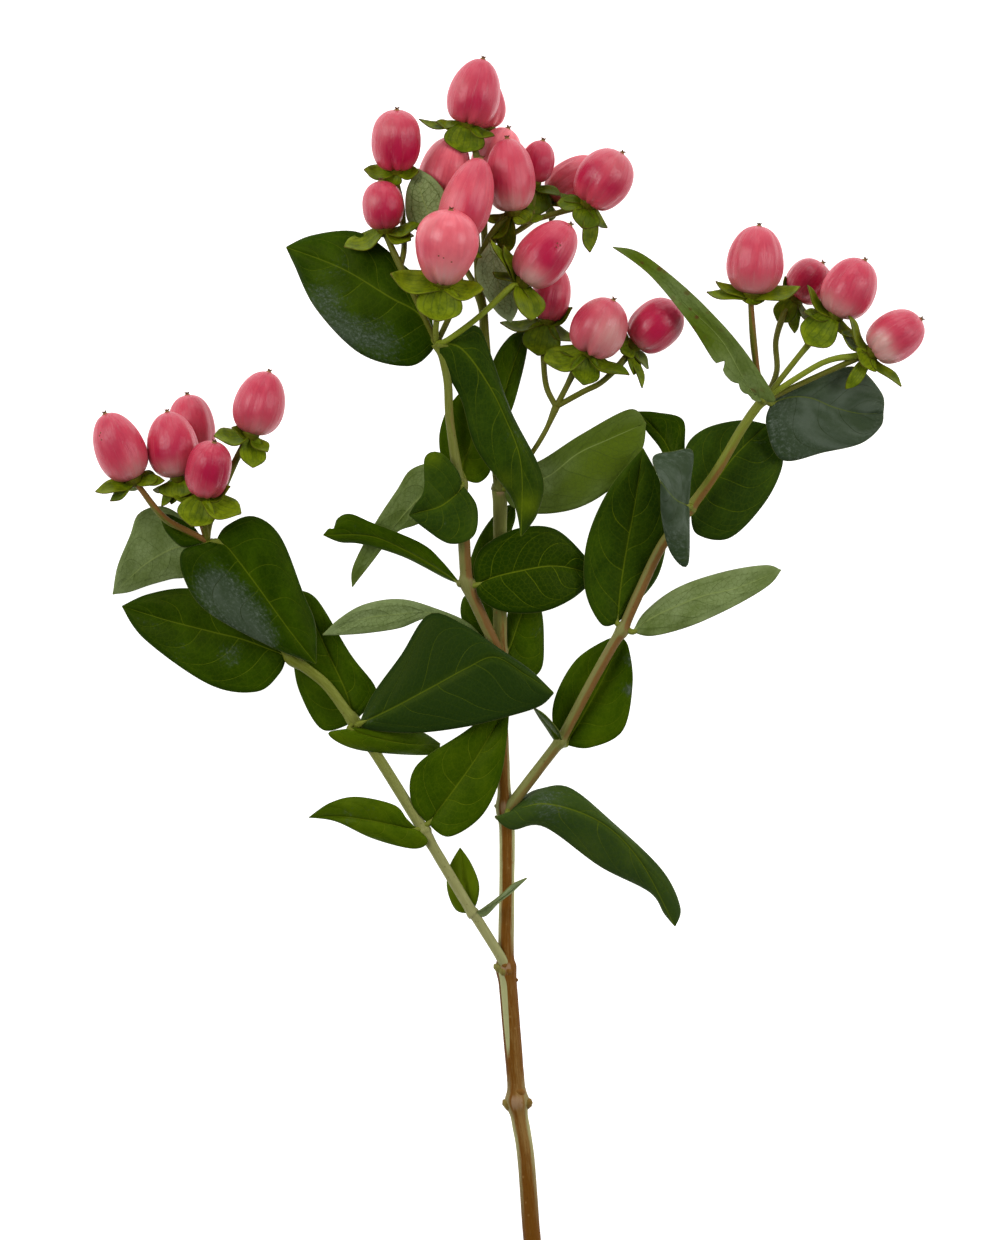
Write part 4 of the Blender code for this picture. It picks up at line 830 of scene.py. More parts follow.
# The places of sheen on an upper side are painted reflections; on an underside they are brown
# flecks.
LOOKS = {
    "left_leaf_01": Look(
        tone=-0.5, veins=0.35, sheen_and_flecks=[(213, 585, 6, 1.1), (238, 615, 7, 1.1), (262, 640, 5, 0.9)]),
    "left_leaf_02": Look(
        tone=-0.4, sheen_and_flecks=[(230, 655, 4, 0.7), (150, 620, 5, 0.35), (180, 655, 5, 0.35)]),
    "left_leaf_03": Look(under=True, tone=0.2, veins=0.5),
    "left_leaf_04": Look(tone=0.3),
    "left_leaf_05": Look(tone=-1.2, cool_and_painted_light=0.25, veins=0.3, sheen_and_flecks=[(370, 715, 4, 0.5)]),
    "left_leaf_06": Look(tone=0.95, bites=[(438, 733, 0.8, 0.5)]),
    "left_leaf_07": Look(tone=0.6, veins=0.8),
    "left_leaf_08": Look(tone=1.2, wave=0.4, sheen_and_flecks=[(370, 810, 5, 0.3), (345, 818, 4, 0.3)]),
    "centre_leaf_01": Look(under=True, cool_and_painted_light=0.1),
    "centre_leaf_02": Look(tone=0.3, sheen_and_flecks=[(360, 532, 5, 0.3)], bites=[(333, 525, 0.9, 0.5)]),
    "centre_leaf_03": Look(tone=-1.1, veins=0.85),
    "centre_leaf_04": Look(
        cool_and_painted_light=0.2, sheen_and_flecks=[(445, 520, 5, 0.3)], glow=[(433, 457, 2.5, 0.6)]),
    "centre_leaf_05": Look(under=True, tone=-0.4),
    "centre_leaf_06": Look(tone=0.7),
    "centre_leaf_07": Look(
        tone=-0.4, cool_and_painted_light=0.15, sheen_and_flecks=[(515, 440, 7, 0.4)],
        glow=[(528, 505, 3.0, 0.7), (505, 480, 2.5, 0.4)]),
    "centre_leaf_08": Look(tone=0.2),
    "centre_leaf_09": Look(
        tone=-0.35, veins=0.5,
        sheen_and_flecks=[(322, 300, 6, 0.8), (345, 335, 6, 1.0), (385, 345, 6, 0.8), (345, 260, 5, 0.4)]),
    "centre_leaf_10": Look(under=True, tone=0.8, veins=0.9),
    "centre_leaf_11": Look(under=True, tone=2.2, cool_and_painted_light=1.0),
    "main_leaf_01": Look(
        under=True, tone=-0.75, glow=[(602, 462, 7, 1.0), (630, 435, 6, 0.9), (572, 485, 5, 0.5)]),
    "main_leaf_02": Look(tone=0.3, veins=0.8, sheen_and_flecks=[(538, 630, 4, 0.4)]),
    "main_leaf_03": Look(tone=0.7, cool_and_painted_light=0.6, veins=0.5, sheen_and_flecks=[(548, 804, 6, 0.7)]),
    "right_leaf_01": Look(tone=0.55, sheen_and_flecks=[(629, 690, 2, 1.0), (629, 660, 2, 0.8)]),
    "right_leaf_02": Look(tone=-0.2, cool_and_painted_light=0.1, veins=0.7),
    "right_leaf_03": Look(under=True, tone=0.2, veins=0.5, wave=0.6, waves=4.5),
    "right_leaf_04": Look(tone=-0.3, cool_and_painted_light=0.2, sheen_and_flecks=[(762, 450, 6, 0.4)]),
    "right_leaf_05": Look(tone=0.6, cool_and_painted_light=1.2, veins=0.3, sheen_and_flecks=[(680, 495, 14, 1.8)]),
    "right_leaf_06": Look(tone=-0.5),
    "right_leaf_07": Look(
        under=True, tone=-0.3, veins=0.4, wave=0.5, waves=3.5,
        sheen_and_flecks=[(698, 310, 6, 1.1), (650, 262, 6, 1.0), (745, 385, 4, 0.8)],
        glow=[(690, 325, 5, 0.9), (640, 262, 7, 1.1), (715, 345, 6, 0.8)],
        bites=[(718, 369, 0.8, 0.6), (737, 386, 0.9, 0.4), (749, 396, 0.9, 0.4)]),
    "right_leaf_08": Look(tone=-0.1, cool_and_painted_light=1.0, veins=0.35, sheen_and_flecks=[(835, 410, 20, 1.7)]),
}

LEAFLET_LOOKS = {
    "left_shoot": [Look(tone=3.0, glow=[(461, 885, 3.5, 0.7)]), Look(under=True, tone=1.0),
                   Look(tone=-0.8)],
    "right_shoot": [Look(tone=0.2)],
    "centre_shoot": [Look()],
    "main_stem": [Look(tone=-0.2)],
}


def leaf_rows(count):
    """Places along a leaf, closer together near its two ends."""
    rows = []
    for step in range(count + 1):
        crowded = 0.5 - 0.5 * math.cos(math.pi * step / count)
        rows.append(CROWDED_ROWS * crowded + EVEN_ROWS * step / count)
    return rows


def vein_place(along, across, seed):
    """How many side veins lie between a leaf's base and this place on it."""
    from_rib = abs(across)
    bent = along - VEIN_SLANT * from_rib - VEIN_SWEEP * from_rib ** 4
    turns_along, turns_across = VEIN_WOBBLE_TURNS
    wobble = math.sin(turns_along * along + turns_across * across + SEED_REACH * seed)
    return VEINS * (bent + VEIN_WOBBLE * wobble)


def vein_share(turn, across):
    """One on a side vein and nought between; the two sides alternate."""
    part = (turn + (0.5 if across > 0.0 else 0.0)) % 1.0
    return bell(part - 0.5, VEIN_HALF)


def add_leaf(shape, leaf, look, splits, sides, seed):
    """One leaf, with a sunk midrib above, a raised one below, and swollen
    patches between its side veins. sides holds the slots of its two sides."""
    rows = leaf_rows(splits[0])
    columns = [2.0 * step / splits[1] - 1.0 for step in range(splits[1] + 1)]
    surface = leaf_surface(leaf, rows, columns)
    normals = sheet_normals(surface)
    middle = splits[1] // 2
    length = sum((second[middle] - first[middle]).length
                 for first, second in zip(surface, surface[1:]))
    facing = -1.0 if look.under else 1.0
    front, back, place, span, tint, extra = [], [], [], [], [], []
    for row, along in enumerate(rows):
        rib = surface[row][middle]
        for column, across in enumerate(columns):
            point = surface[row][column]
            normal = normals[row][column]
            edge = surface[row][0 if across < 0.0 else -1]
            bitten = min(DEEPEST_BITE, spot_share(edge, look.bites))
            point = rib + (point - rib) * (1.0 - bitten * across * across)
            from_rib = (point - rib).length
            width = (edge - rib).length
            near_rib = bell(from_rib, RIB_WIDTH)
            near_rim = abs(across)
            open_blade = min(1.0, width / LEAF_BROAD) * min(1.0, (1.0 - along) * LEAF_TIP_FADE)
            inside = (1.0 - near_rim ** 4) * (1.0 - near_rib) * open_blade
            turn = vein_place(along, across, seed)
            swell = QUILT * (1.0 - vein_share(turn, across)) * inside
            wave_start = RIGHT_WAVE if across > 0.0 else LEFT_WAVE
            wave = look.wave * near_rim ** 3 * open_blade
            wave *= math.sin(math.tau * (look.waves * along + seed) + wave_start)
            skin = LEAF_SKIN * (1.0 - LEAF_RIM_THIN * near_rim ** 6) / 2.0
            upper = skin - RIB_GROOVE * near_rib * open_blade
            lower = skin + RIB_RIDGE * near_rib * (1.0 - RIB_RIDGE_FADE * along)
            if look.under:
                upper, lower = lower, upper
            centre = point + SEEN * wave + normal * swell * facing
            front.append(centre + normal * upper)
            back.append(centre - normal * lower)
            side = 1.0 if across > 0.0 else -1.0
            place.append((along, across, (1.0 - near_rim) * width / MM))
            span.append((along * length / MM, side * from_rib / MM, seed * SEED_REACH))
            tint.append((look.tone, spot_share(point, look.sheen_and_flecks), turn))
            extra.append((look.veins, spot_share(point, look.glow), look.cool_and_painted_light))
    front_slot, back_slot = reversed(sides) if look.under else sides
    faces, slots = sheet_faces(len(rows), len(columns), front_slot, back_slot)
    shape.add(front + back, faces, slots, place * 2, span * 2, tint * 2, extra * 2)


def add_neck(shape, leaf, centres, seed):
    """The short green neck by which a leaf clasps the nearest stem."""
    nearest = min(centres, key=lambda centre: (centre - leaf.base).length)
    if (nearest - leaf.base).length > NECK_REACH:
        return
    ahead = (leaf.rib[1] - leaf.base).normalized()
    route = [nearest, leaf.base, leaf.base + ahead * NECK_SINK]
    radii = [NECK_RADIUS * share for share in NECK_SHARES]
    add_tube(shape, route, radii, STALK_SIDES, NECK_SPANS, NECK_SLOT, seed, [NECK_TINT])


# Berries' skins


class Ripe:
    """How one berry differs from the others.

    deep is how deep its red is (below nought: paler) and pale how pale its stalk
    end is; egg is how much fuller it is near its stalk and boxy how square its
    ends are; turned is the angle of its lobes in degrees, cleft how far they
    part at its stalk and furrow how deep its grooves are along it. flush and
    blush are places of deeper red and of paler skin, the paler ones partly pale
    skin and partly painted highlights, as (across, down, radius in mm,
    strength), specks are the pixels of its brown dots, and green is how bright
    its sepals are (below nought: darker, a painted shade for sepals that lie in
    shadow).
    """

    def __init__(self, deep, pale=0.2, egg=0.1, boxy=2.2, turned=0.0, cleft=0.3,
                 flush=(), blush_and_highlight=(), specks=(), green=0.0, furrow=1.0):
        self.deep = deep
        self.pale = pale
        self.egg = egg
        self.boxy = boxy
        self.turned = math.radians(turned)
        self.cleft = cleft
        self.flush = spots(flush)
        self.blush_and_highlight = spots(blush_and_highlight)
        self.specks = specks
        self.green = green
        self.furrow = furrow


# Each berry's places of paler skin include painted highlights, and green below nought is a painted
# shade on its sepals.
RIPENESS = {
    "left_berry_1": Ripe(
        0.42, 0.2, 0.14, 2.25, 75, 0.2, [(116, 445, 3.5, 0.2)], [(137, 470, 2.6, 0.5)],
        [(100, 436), (102, 440), (101, 433), (142, 442)]),
    "left_berry_2": Ripe(
        0.45, 0.3, 0.16, 2.2, 40, 0.3, [(167, 455, 2.6, 0.9), (182, 442, 2.8, 0.4)],
        [(172, 474, 3.0, 0.5)]),
    "left_berry_3": Ripe(0.45, 0.1, 0.08, 2.3, 35, 0.2, green=-1.0),
    "left_berry_4": Ripe(
        0.55, 0.1, 0.04, 2.4, 15, 0.6, [(213, 470, 3.0, 0.8), (226, 480, 2.6, 0.6)], green=0.6),
    "left_berry_5": Ripe(
        0.45, 0.2, 0.12, 2.15, 80, 0.3, [(246, 418, 3.5, 0.2)], [(258, 430, 2.5, 0.3)]),
    "centre_berry_01": Ripe(
        0.48, 0.1, 0.20, 2.15, 88, 1.0, [(478, 103, 2.4, 0.6), (462, 108, 1.8, 0.4)],
        [(460, 85, 2.5, 0.2)], green=-0.5),
    "centre_berry_02": Ripe(0.50, 0.2, 0.2, 2.2, 20, 0.4),
    "centre_berry_03": Ripe(
        0.40, 0.0, 0.02, 2.35, 78, 0.9, [(399, 152, 3.4, 1.1), (413, 146, 2.6, 0.9)],
        [(385, 128, 3.0, 0.2)]),
    "centre_berry_04": Ripe(
        0.45, 0.1, 0.05, 2.3, 85, 0.4, [(387, 213, 3.4, 1.0)], [(373, 203, 1.5, 0.3)]),
    "centre_berry_05": Ripe(-0.20, 0.1, 0.18, 2.2, 60, 0.4, [(446, 168, 4.0, 0.2)]),
    "centre_berry_06": Ripe(-0.35, 0.1, 0.15, 2.2, 50, 0.4),
    "centre_berry_07": Ripe(
        0.28, 0.4, 0.12, 2.2, 35, 0.3, [(497, 188, 3.0, 0.5)], [(509, 208, 3.0, 0.7)]),
    "centre_berry_08": Ripe(
        0.02, 0.1, 0.20, 2.15, 70, 0.3, [(472, 212, 3.2, 0.8), (482, 172, 2.6, 0.3)],
        [(447, 200, 3.0, 0.2)]),
    "centre_berry_09": Ripe(
        -0.15, 0.1, -0.16, 2.05, 58, 0.8, [(420, 252, 3.5, 0.35)],
        [(446, 280, 4.5, 0.7), (426, 226, 3.0, 0.3)],
        [(439, 259), (444, 261), (452, 265)], green=0.7, furrow=0.35),
    "centre_berry_10": Ripe(0.60, 0.1, 0.1, 2.2, 40, 0.2, [(541, 165, 3.0, 0.4)], green=-1.0),
    "centre_berry_11": Ripe(0.10, 0.3, 0.1, 2.2, 0, 0.3),
    "centre_berry_12": Ripe(
        0.50, 0.1, 0.04, 2.2, 68, 1.0, [(587, 175, 2.6, 1.0), (614, 188, 2.6, 0.5)],
        [(618, 162, 4.0, 0.2)], green=-1.0),
    "centre_berry_13": Ripe(
        0.32, 0.3, 0.14, 2.2, 50, 0.5,
        [(545, 258, 3.0, 1.1), (553, 246, 2.4, 0.6), (562, 268, 3.0, 0.4)],
        [(531, 280, 2.6, 1.0)], [(557, 245), (560, 247), (556, 249), (568, 227), (571, 229)],
        green=0.3),
    "centre_berry_14": Ripe(0.40, 0.1, 0.1, 2.2, 95, 0.3, [(552, 300, 3.0, 0.5)], green=-1.0),
    "centre_berry_15": Ripe(
        0.48, 0.2, 0.14, 2.2, 82, 1.2, [(583, 318, 3.0, 0.35)],
        [(611, 337, 5.0, 0.9), (592, 300, 2.5, 0.3)], green=-0.7),
    "centre_berry_16": Ripe(
        0.75, 0.1, 0.04, 2.3, 20, 0.5, [(652, 328, 4.0, 0.4)], [(641, 347, 1.5, 0.5)],
        green=-0.3, furrow=0.6),
    "right_berry_1": Ripe(
        0.32, 0.4, 0.12, 2.25, 30, 0.2, [(752, 278, 2.0, 0.3)], [(738, 250, 1.5, 0.2)]),
    "right_berry_2": Ripe(0.50, 0.1, 0.02, 2.3, 10, 0.3, [(810, 280, 4.0, 0.6)], green=-0.8),
    "right_berry_3": Ripe(
        0.42, 0.2, 0.10, 2.25, 50, 0.3, [(858, 290, 4.0, 0.2)],
        [(826, 302, 2.6, 0.6), (842, 312, 2.6, 0.6)]),
    "right_berry_4": Ripe(
        0.40, 0.5, 0.06, 2.25, 65, 0.7, [(905, 338, 4.0, 0.3)],
        [(881, 341, 2.3, 1.2), (888, 355, 2.6, 0.8)]),
}


def any_side(axis):
    """A fixed direction square to the axis, level with the surface."""
    side = SEEN.cross(axis)
    if side.length < NEARLY_UPRIGHT:
        side = Vector((1.0, 0.0, 0.0)).cross(axis)
    return side.normalized()


def square_to(axis):
    """Two directions square to the axis and to each other."""
    side = any_side(axis)
    return side, axis.cross(side)


def way_out(side, other, angle):
    """The direction at an angle round the axis that two directions are square to."""
    return side * math.cos(angle) + other * math.sin(angle)


def angle_between(first, second):
    return math.remainder(first - second, math.tau)


def groove_share(angle, ripe):
    """One in the middle of a groove between two lobes, less in a lesser fold and
    nought elsewhere."""
    from_lobe = angle - ripe.turned
    groove = 0.0
    for number in range(LOBES):
        groove += bell(angle_between(from_lobe, number * math.tau / LOBES), GROOVE_WIDTH)
    for turn, share in FOLDS:
        groove += share * bell(angle_between(from_lobe, turn), FOLD_WIDTH)
    return min(1.0, groove)


def berry_radius(turn, angle, ripe, seed):
    """A berry's radius, as a share of its widest, at a place on its skin."""
    level = math.cos(turn)
    round_end = (1.0 - abs(level) ** ripe.boxy) ** (1.0 / ripe.boxy)
    egg = (1.0 + ripe.egg * level) / (1.0 + EGG_BALANCE * ripe.egg ** 2)
    near_base = max(0.0, level)
    full = GROOVE_ENDS + (1.0 - GROOVE_ENDS) * math.sin(turn) ** 2
    depth = GROOVE_DEPTH * ripe.furrow * full
    depth += CLEFT_DEPTH * ripe.cleft * near_base ** CLEFT_FALL
    cosine, sine = math.cos(angle), math.sin(angle)
    lump_place = Vector((cosine, sine, turn * LUMP_STRETCH)) * LUMP_SCALE
    lump = noise.noise(lump_place + Vector((seed, 0.0, seed)))
    rib = noise.noise(Vector((cosine * RIB_SCALE, sine * RIB_SCALE, turn * RIB_STRETCH + seed)))
    uneven = LUMPS * lump + RIBS * ripe.furrow * rib * math.sin(turn)
    return round_end * egg * (1.0 - depth * groove_share(angle, ripe) + uneven)


def add_berry(shape, berry, ripe, seed):
    """The berry's skin, the dry style at its tip, and its specks."""
    rings, sides = BERRY_SPLITS
    axis = berry.axis()
    side, other = square_to(axis)
    length = (berry.tip - berry.base).length
    points = [berry.base + axis * STALK_DENT]
    place = [NOUGHT]
    for ring in range(1, rings):
        turn = math.pi * ring / rings
        level = math.cos(turn)
        middle = berry.base + axis * length * (1.0 - level) / 2.0
        for number in range(sides):
            angle = math.tau * number / sides
            lobe = max(0.0, level) ** 2 * (1.0 - level ** 8) * (1.0 - groove_share(angle, ripe))
            radius = berry.radius * berry_radius(turn, angle, ripe, seed)
            drop = LOBE_DROP * ripe.cleft * lobe
            points.append(middle + way_out(side, other, angle) * radius - axis * drop)
            place.append(((1.0 - level) / 2.0, math.cos(angle), math.sin(angle)))
    points.append(berry.tip - axis * TIP_DENT)
    place.append((1.0, 0.0, 0.0))
    span, tint = [], []
    for point, (along, cosine, sine) in zip(points, place):
        groove = ripe.furrow * groove_share(math.atan2(sine, cosine), ripe)
        deep = ripe.deep + spot_share(point, ripe.flush)
        span.append((along * length / MM, groove, seed))
        # The second number marks pale skin, some of it painted highlights
        tint.append((deep, spot_share(point, ripe.blush_and_highlight), ripe.pale))
    extra = [(ripe.furrow, 0.0, 0.0)] * len(points)
    faces = ring_faces(rings - 1, sides, len(points) - 1)
    shape.add(points, faces, SKIN_SLOT, place, span, tint, extra)
    add_style(shape, berry, ripe, seed)
    skin = BVHTree.FromPolygons(points, faces)
    for across, down in ripe.specks:
        found, normal, _, _ = skin.ray_cast(at(across, down, OVER_ALL), -SEEN)
        if found:
            add_speck(shape, found, normal, seed + across)


def add_style(shape, berry, ripe, seed):
    """The dry remains of the flower's style: a tan foot and three dark points."""
    axis = berry.axis()
    side, other = square_to(axis)
    foot = [berry.tip + axis * level * MM for level, _ in STYLE_FOOT]
    radii = [radius * MM for _, radius in STYLE_FOOT]
    add_tube(shape, foot, radii, STALK_SIDES, STYLE_SPANS, FOOT_SLOT, seed)
    radii = [radius * MM for _, _, radius in STYLE_BENDS]
    for number in range(STYLE_POINTS):
        out = way_out(side, other, math.tau * number / STYLE_POINTS + ripe.turned)
        end = berry.tip
        route = []
        for rise, lean, _ in STYLE_BENDS:
            end = end + axis * rise * MM + out * lean * MM
            route.append(end)
        add_tube(shape, route, radii, STYLE_SIDES, STYLE_SPANS, DARK_SLOT, seed)


def add_speck(shape, centre, normal, seed):
    """A low brown dome on a berry's skin."""
    side, other = square_to(normal)
    points = [centre + normal * SPECK_TOP]
    for height, share in SPECK_RINGS:
        for number in range(SPECK_SIDES):
            angle = math.tau * number / SPECK_SIDES
            radius = SPECK_RADIUS * share * (1.0 + SPECK_WOBBLE * math.sin(3.0 * angle + seed))
            points.append(centre + way_out(side, other, angle) * radius + normal * height * MM)
    points.append(centre - normal * SPECK_ROOT)
    blank = [NOUGHT] * len(points)
    faces = turned_round(ring_faces(len(SPECK_RINGS), SPECK_SIDES, len(points) - 1))
    shape.add(points, faces, DARK_SLOT, blank, blank, blank)


def ring_faces(rings, sides, last):
    """Faces of a closed shape: a first point, rings of points, a last point."""
    faces = []
    for number in range(sides):
        after = (number + 1) % sides
        faces.append((0, 1 + after, 1 + number))
        for ring in range(rings - 1):
            low = 1 + ring * sides
            high = low + sides
            faces.append((low + number, low + after, high + after, high + number))
        top = 1 + (rings - 1) * sides
        faces.append((top + number, top + after, last))
    return faces


def turned_round(faces):
    """The same faces seen from their other side."""
    return [tuple(reversed(face)) for face in faces]


# Stems, stalks, cups and sepals


def add_tube(shape, points, radii, sides, spans, slot, seed, tints=(NOUGHT,), marks=None,
             ridge=0.0):
    """A round rod along a smooth curve, with a radius at each of its points.

    The tints are spaced evenly from its first point to its last, marks says how
    far each point is a joint, and ridge how far two sides stand out.
    """
    path, sizes, joints = [], [], []
    marks = marks or [0.0] * len(points)
    for span in range(len(points) - 1):
        for step in range(spans):
            share = step / spans
            ease = share * share * (3.0 - 2.0 * share)
            path.append(curve_point(points, span, share))
            sizes.append(radii[span] + (radii[span + 1] - radii[span]) * ease)
            joints.append(marks[span] + (marks[span + 1] - marks[span]) * ease)
    path.append(points[-1])
    sizes.append(radii[-1])
    joints.append(marks[-1])
    side = any_side((path[1] - path[0]).normalized())
    rod = [path[0]]
    travelled = 0.0
    place = [(0.0, 0.0, joints[0])]
    ways = [(0.0, 0.0, seed)]
    for index, (middle, size, joint) in enumerate(zip(path, sizes, joints)):
        before = path[max(index - 1, 0)]
        after = path[min(index + 1, len(path) - 1)]
        direction = (after - before).normalized()
        side = (side - direction * side.dot(direction)).normalized()
        other = direction.cross(side)
        if index:
            travelled += (middle - before).length
        level = travelled / MM * ROD_LUMP_RATE + seed
        for number in range(sides):
            angle = math.tau * number / sides
            cosine, sine = math.cos(angle), math.sin(angle)
            lump = ROD_LUMPS * noise.noise(Vector((cosine, sine, level)))
            radius = size * (1.0 + lump + ridge * math.cos(2.0 * angle))
            rod.append(middle + way_out(side, other, angle) * radius)
            place.append((cosine, sine, joint))
            ways.append((travelled / MM, angle * size / MM, seed))
    rod.append(path[-1])
    place.append((0.0, 0.0, joints[-1]))
    ways.append((travelled / MM, 0.0, seed))
    colours = [tint_at(tints, way[0] * MM / travelled) for way in ways]
    shape.add(rod, ring_faces(len(path), sides, len(rod) - 1), slot, place, ways, colours)


def tint_at(tints, share):
    """The tint at a share of the way along a row of them."""
    place = share * (len(tints) - 1)
    index = min(int(place), max(len(tints) - 2, 0))
    first = Vector(tints[index])
    second = Vector(tints[min(index + 1, len(tints) - 1)])
    return tuple(first.lerp(second, place - index))


def sepal_width(share):
    """A sepal's width along its length, as a share of its widest."""
    if share < SEPAL_WIDEST:
        rise = math.sin(math.pi / 2.0 * share / SEPAL_WIDEST)
        return SEPAL_FOOT + (1.0 - SEPAL_FOOT) * rise
    outer = (share - SEPAL_WIDEST) / (1.0 - SEPAL_WIDEST)
    return max(SEPAL_POINT, 1.0 - outer ** SEPAL_POWER)


def sepal_lie(root, tip, axis):
    """The direction across a sepal, and the middle point that it bows to."""
    reach = tip - root
    across_way = reach.normalized().cross(axis + SEEN * SEPAL_LEAN).normalized()
    crown = (root + tip) / 2.0 - axis * reach.length * SEPAL_ARCH
    return across_way, crown


def add_sepal(shape, root, tip, width, axis, seed, green):
    """A pointed green blade that bows away from the berry, hollow above."""
    length = (tip - root).length
    across_way, crown = sepal_lie(root, tip, axis)
    face = across_way.cross((tip - root).normalized()).normalized()
    rows, columns = SEPAL_SPLITS
    acrosses = [2.0 * column / columns - 1.0 for column in range(columns + 1)]
    halves = [width * sepal_width(row / rows) / 2.0 for row in range(rows + 1)]
    surface = []
    for row, half in enumerate(halves):
        share = row / rows
        middle = root * (1 - share) ** 2 + crown * 2 * share * (1 - share) + tip * share ** 2
        middle += face * length * SEPAL_SWAY * math.sin(math.tau * share + seed)
        line = []
        for across in acrosses:
            hollow = face * half * SEPAL_HOLLOW * across * across
            line.append(middle + across_way * half * across + hollow)
        surface.append(line)
    normals = sheet_normals(surface)
    # Its brightness: the berry's setting, below nought a painted shade, and a tone that differs
    # from sepal to sepal
    tone = green + SEPAL_TONES * math.sin(SEPAL_TONE_TURN * seed)
    front, back, place, span = [], [], [], []
    for row, half in enumerate(halves):
        share = row / rows
        for column, across in enumerate(acrosses):
            skin = SEPAL_SKIN * (1.0 - SEPAL_RIM_THIN * abs(across) ** 4) / 2.0
            front.append(surface[row][column] + normals[row][column] * skin)
            back.append(surface[row][column] - normals[row][column] * skin)
            place.append((share, across, (1.0 - abs(across)) * half / MM))
            span.append((share * length / MM, across * half / MM, seed * SEED_REACH))
    points = front + back
    faces, slots = sheet_faces(rows + 1, columns + 1, SEPAL_SLOT, SEPAL_SLOT)
    shape.add(points, faces, slots, place * 2, span * 2, [(tone, 0.0, 0.0)] * len(points))


def skin_of(piece):
    """A piece's surface, to test others against."""
    points = [vertex.co for vertex in piece.data.vertices]
    faces = [tuple(face.vertices) for face in piece.data.polygons]
    return BVHTree.FromPolygons(points, faces)


def clear_share(root, tip, width, axis, skins):
    """How much of a hidden sepal's length is clear of the leaves and berries."""
    across_way, crown = sepal_lie(root, tip, axis)
    for share in CLEAR_SHARES:
        end = root.lerp(tip, share)
        middle = root.lerp(crown, share)
        half = across_way * width * (1.0 + share) / 4.0
        points = [root, middle - half, middle + half, end]
        probe = BVHTree.FromPolygons(points, [(0, 1, 2), (1, 3, 2)])
        if not any(skin.overlap(probe) for skin in skins):
            return share
    return LEAST_SHARE


def add_calyx(shape, berry, green, draw, skins, seed):
    """The cup under a berry and the five sepals round it."""
    axis = berry.axis()
    cup = [berry.base + axis * level for level in CUP_LEVELS]
    add_tube(shape, cup, CUP_RADII, CUP_SIDES, CUP_SPANS, SEPAL_SLOT, seed)
    root_level = berry.base - axis * SEPAL_LEVEL
    seeds = [seed + SEPAL_SEED_STEP * number for number in range(SEPALS_A_BERRY)]
    for (across, down, rise, width), sepal_seed in zip(berry.sepals, seeds):
        tip = at(across, down, berry.base_height + rise)
        out = tip - root_level
        out = (out - axis * out.dot(axis)).normalized()
        root = root_level + out * SEPAL_START
        add_sepal(shape, root, tip, width * MM * SEPAL_BREADTH, axis, sepal_seed, green)
    # The hidden sepals are painted darker still, a painted shade
    add_hidden_sepals(shape, root_level, axis, seeds[len(berry.sepals):],
                      green - HIDDEN_SEPAL_SHADE, draw, skins)


def add_hidden_sepals(shape, root_level, axis, seeds, green, draw, skins):
    """The sepals behind a berry, one for each seed, fanned out away from the camera."""
    side = any_side(axis)
    behind = side.cross(axis).normalized()
    if behind.z > 0.0:
        behind = -behind
    for number, seed in enumerate(seeds):
        spread = 0.0 if len(seeds) == 1 else (number / (len(seeds) - 1) - 0.5)
        angle = spread * HIDDEN_SEPAL_SPREAD * len(seeds)
        angle += draw.uniform(-HIDDEN_SEPAL_TURN, HIDDEN_SEPAL_TURN)
        out = way_out(behind, side, angle)
        root = root_level + out * SEPAL_START
        lean = axis * draw.uniform(-HIDDEN_SEPAL_BACK, 0.0)
        tip = root + (out + lean).normalized() * HIDDEN_SEPAL_LENGTH
        tip.z = max(tip.z, LOWEST_SEPAL)
        share = clear_share(root, tip, HIDDEN_SEPAL_WIDTH, axis, skins)
        width = HIDDEN_SEPAL_WIDTH * (1.0 + share) / 2.0
        add_sepal(shape, root, root.lerp(tip, share), width, axis, seed, green)


# Materials: colours are linear, and each is a mix that follows the surface

LEAF_DARK = (0.0110, 0.0300, 0.0003)
LEAF_MID = (0.0300, 0.0640, 0.0005)
LEAF_BRIGHT = (0.0700, 0.1120, 0.0015)
LEAF_RIB = (0.120, 0.160, 0.006)
LEAF_GLOW = (0.105, 0.150, 0.003)
LEAF_VEIN = (0.105, 0.145, 0.004)
# A pale margin: partly the leaf's own yellowish rim, partly a painted reflection
LEAF_EDGE = (0.120, 0.135, 0.030)
LEAF_SHINE = (0.95, 1.0, 0.20, 1.0)   # the tint of the gloss
UNDER_SHINE = (1.0, 1.0, 0.6, 1.0)
# Painted sheen: bluish-grey reflections painted over the upper side, and the veins seen through
# them
SHEEN_DARK = (0.038, 0.058, 0.032)
SHEEN_PALE = (0.135, 0.165, 0.130)
SHEEN_VEIN = (0.020, 0.034, 0.012)
# A bluish green that stands partly for painted sheen
LEAF_COOL_AND_SHEEN = (0.024, 0.044, 0.018)
UNDER_DARK = (0.070, 0.108, 0.012)
UNDER_PALE = (0.210, 0.270, 0.105)
# A pale green: painted light on undersides that lie in shade
UNDER_PAINTED_LIGHT = (0.400, 0.490, 0.250)
UNDER_RIB = (0.230, 0.290, 0.080)
UNDER_GLOW = (0.072, 0.112, 0.004)
UNDER_VEIN = (0.045, 0.072, 0.008)
RUST = (0.075, 0.035, 0.006)

BERRY_PALE = (0.790, 0.170, 0.200)
BERRY_SALMON = (0.590, 0.068, 0.102)
BERRY_DEEP = (0.400, 0.0015, 0.040)
# A pale skin colour, also used for painted highlights
BERRY_BLUSH_AND_HIGHLIGHT = (0.590, 0.300, 0.270)
STYLE_DARK = (0.035, 0.018, 0.010)
STYLE_TAN = (0.300, 0.170, 0.060)

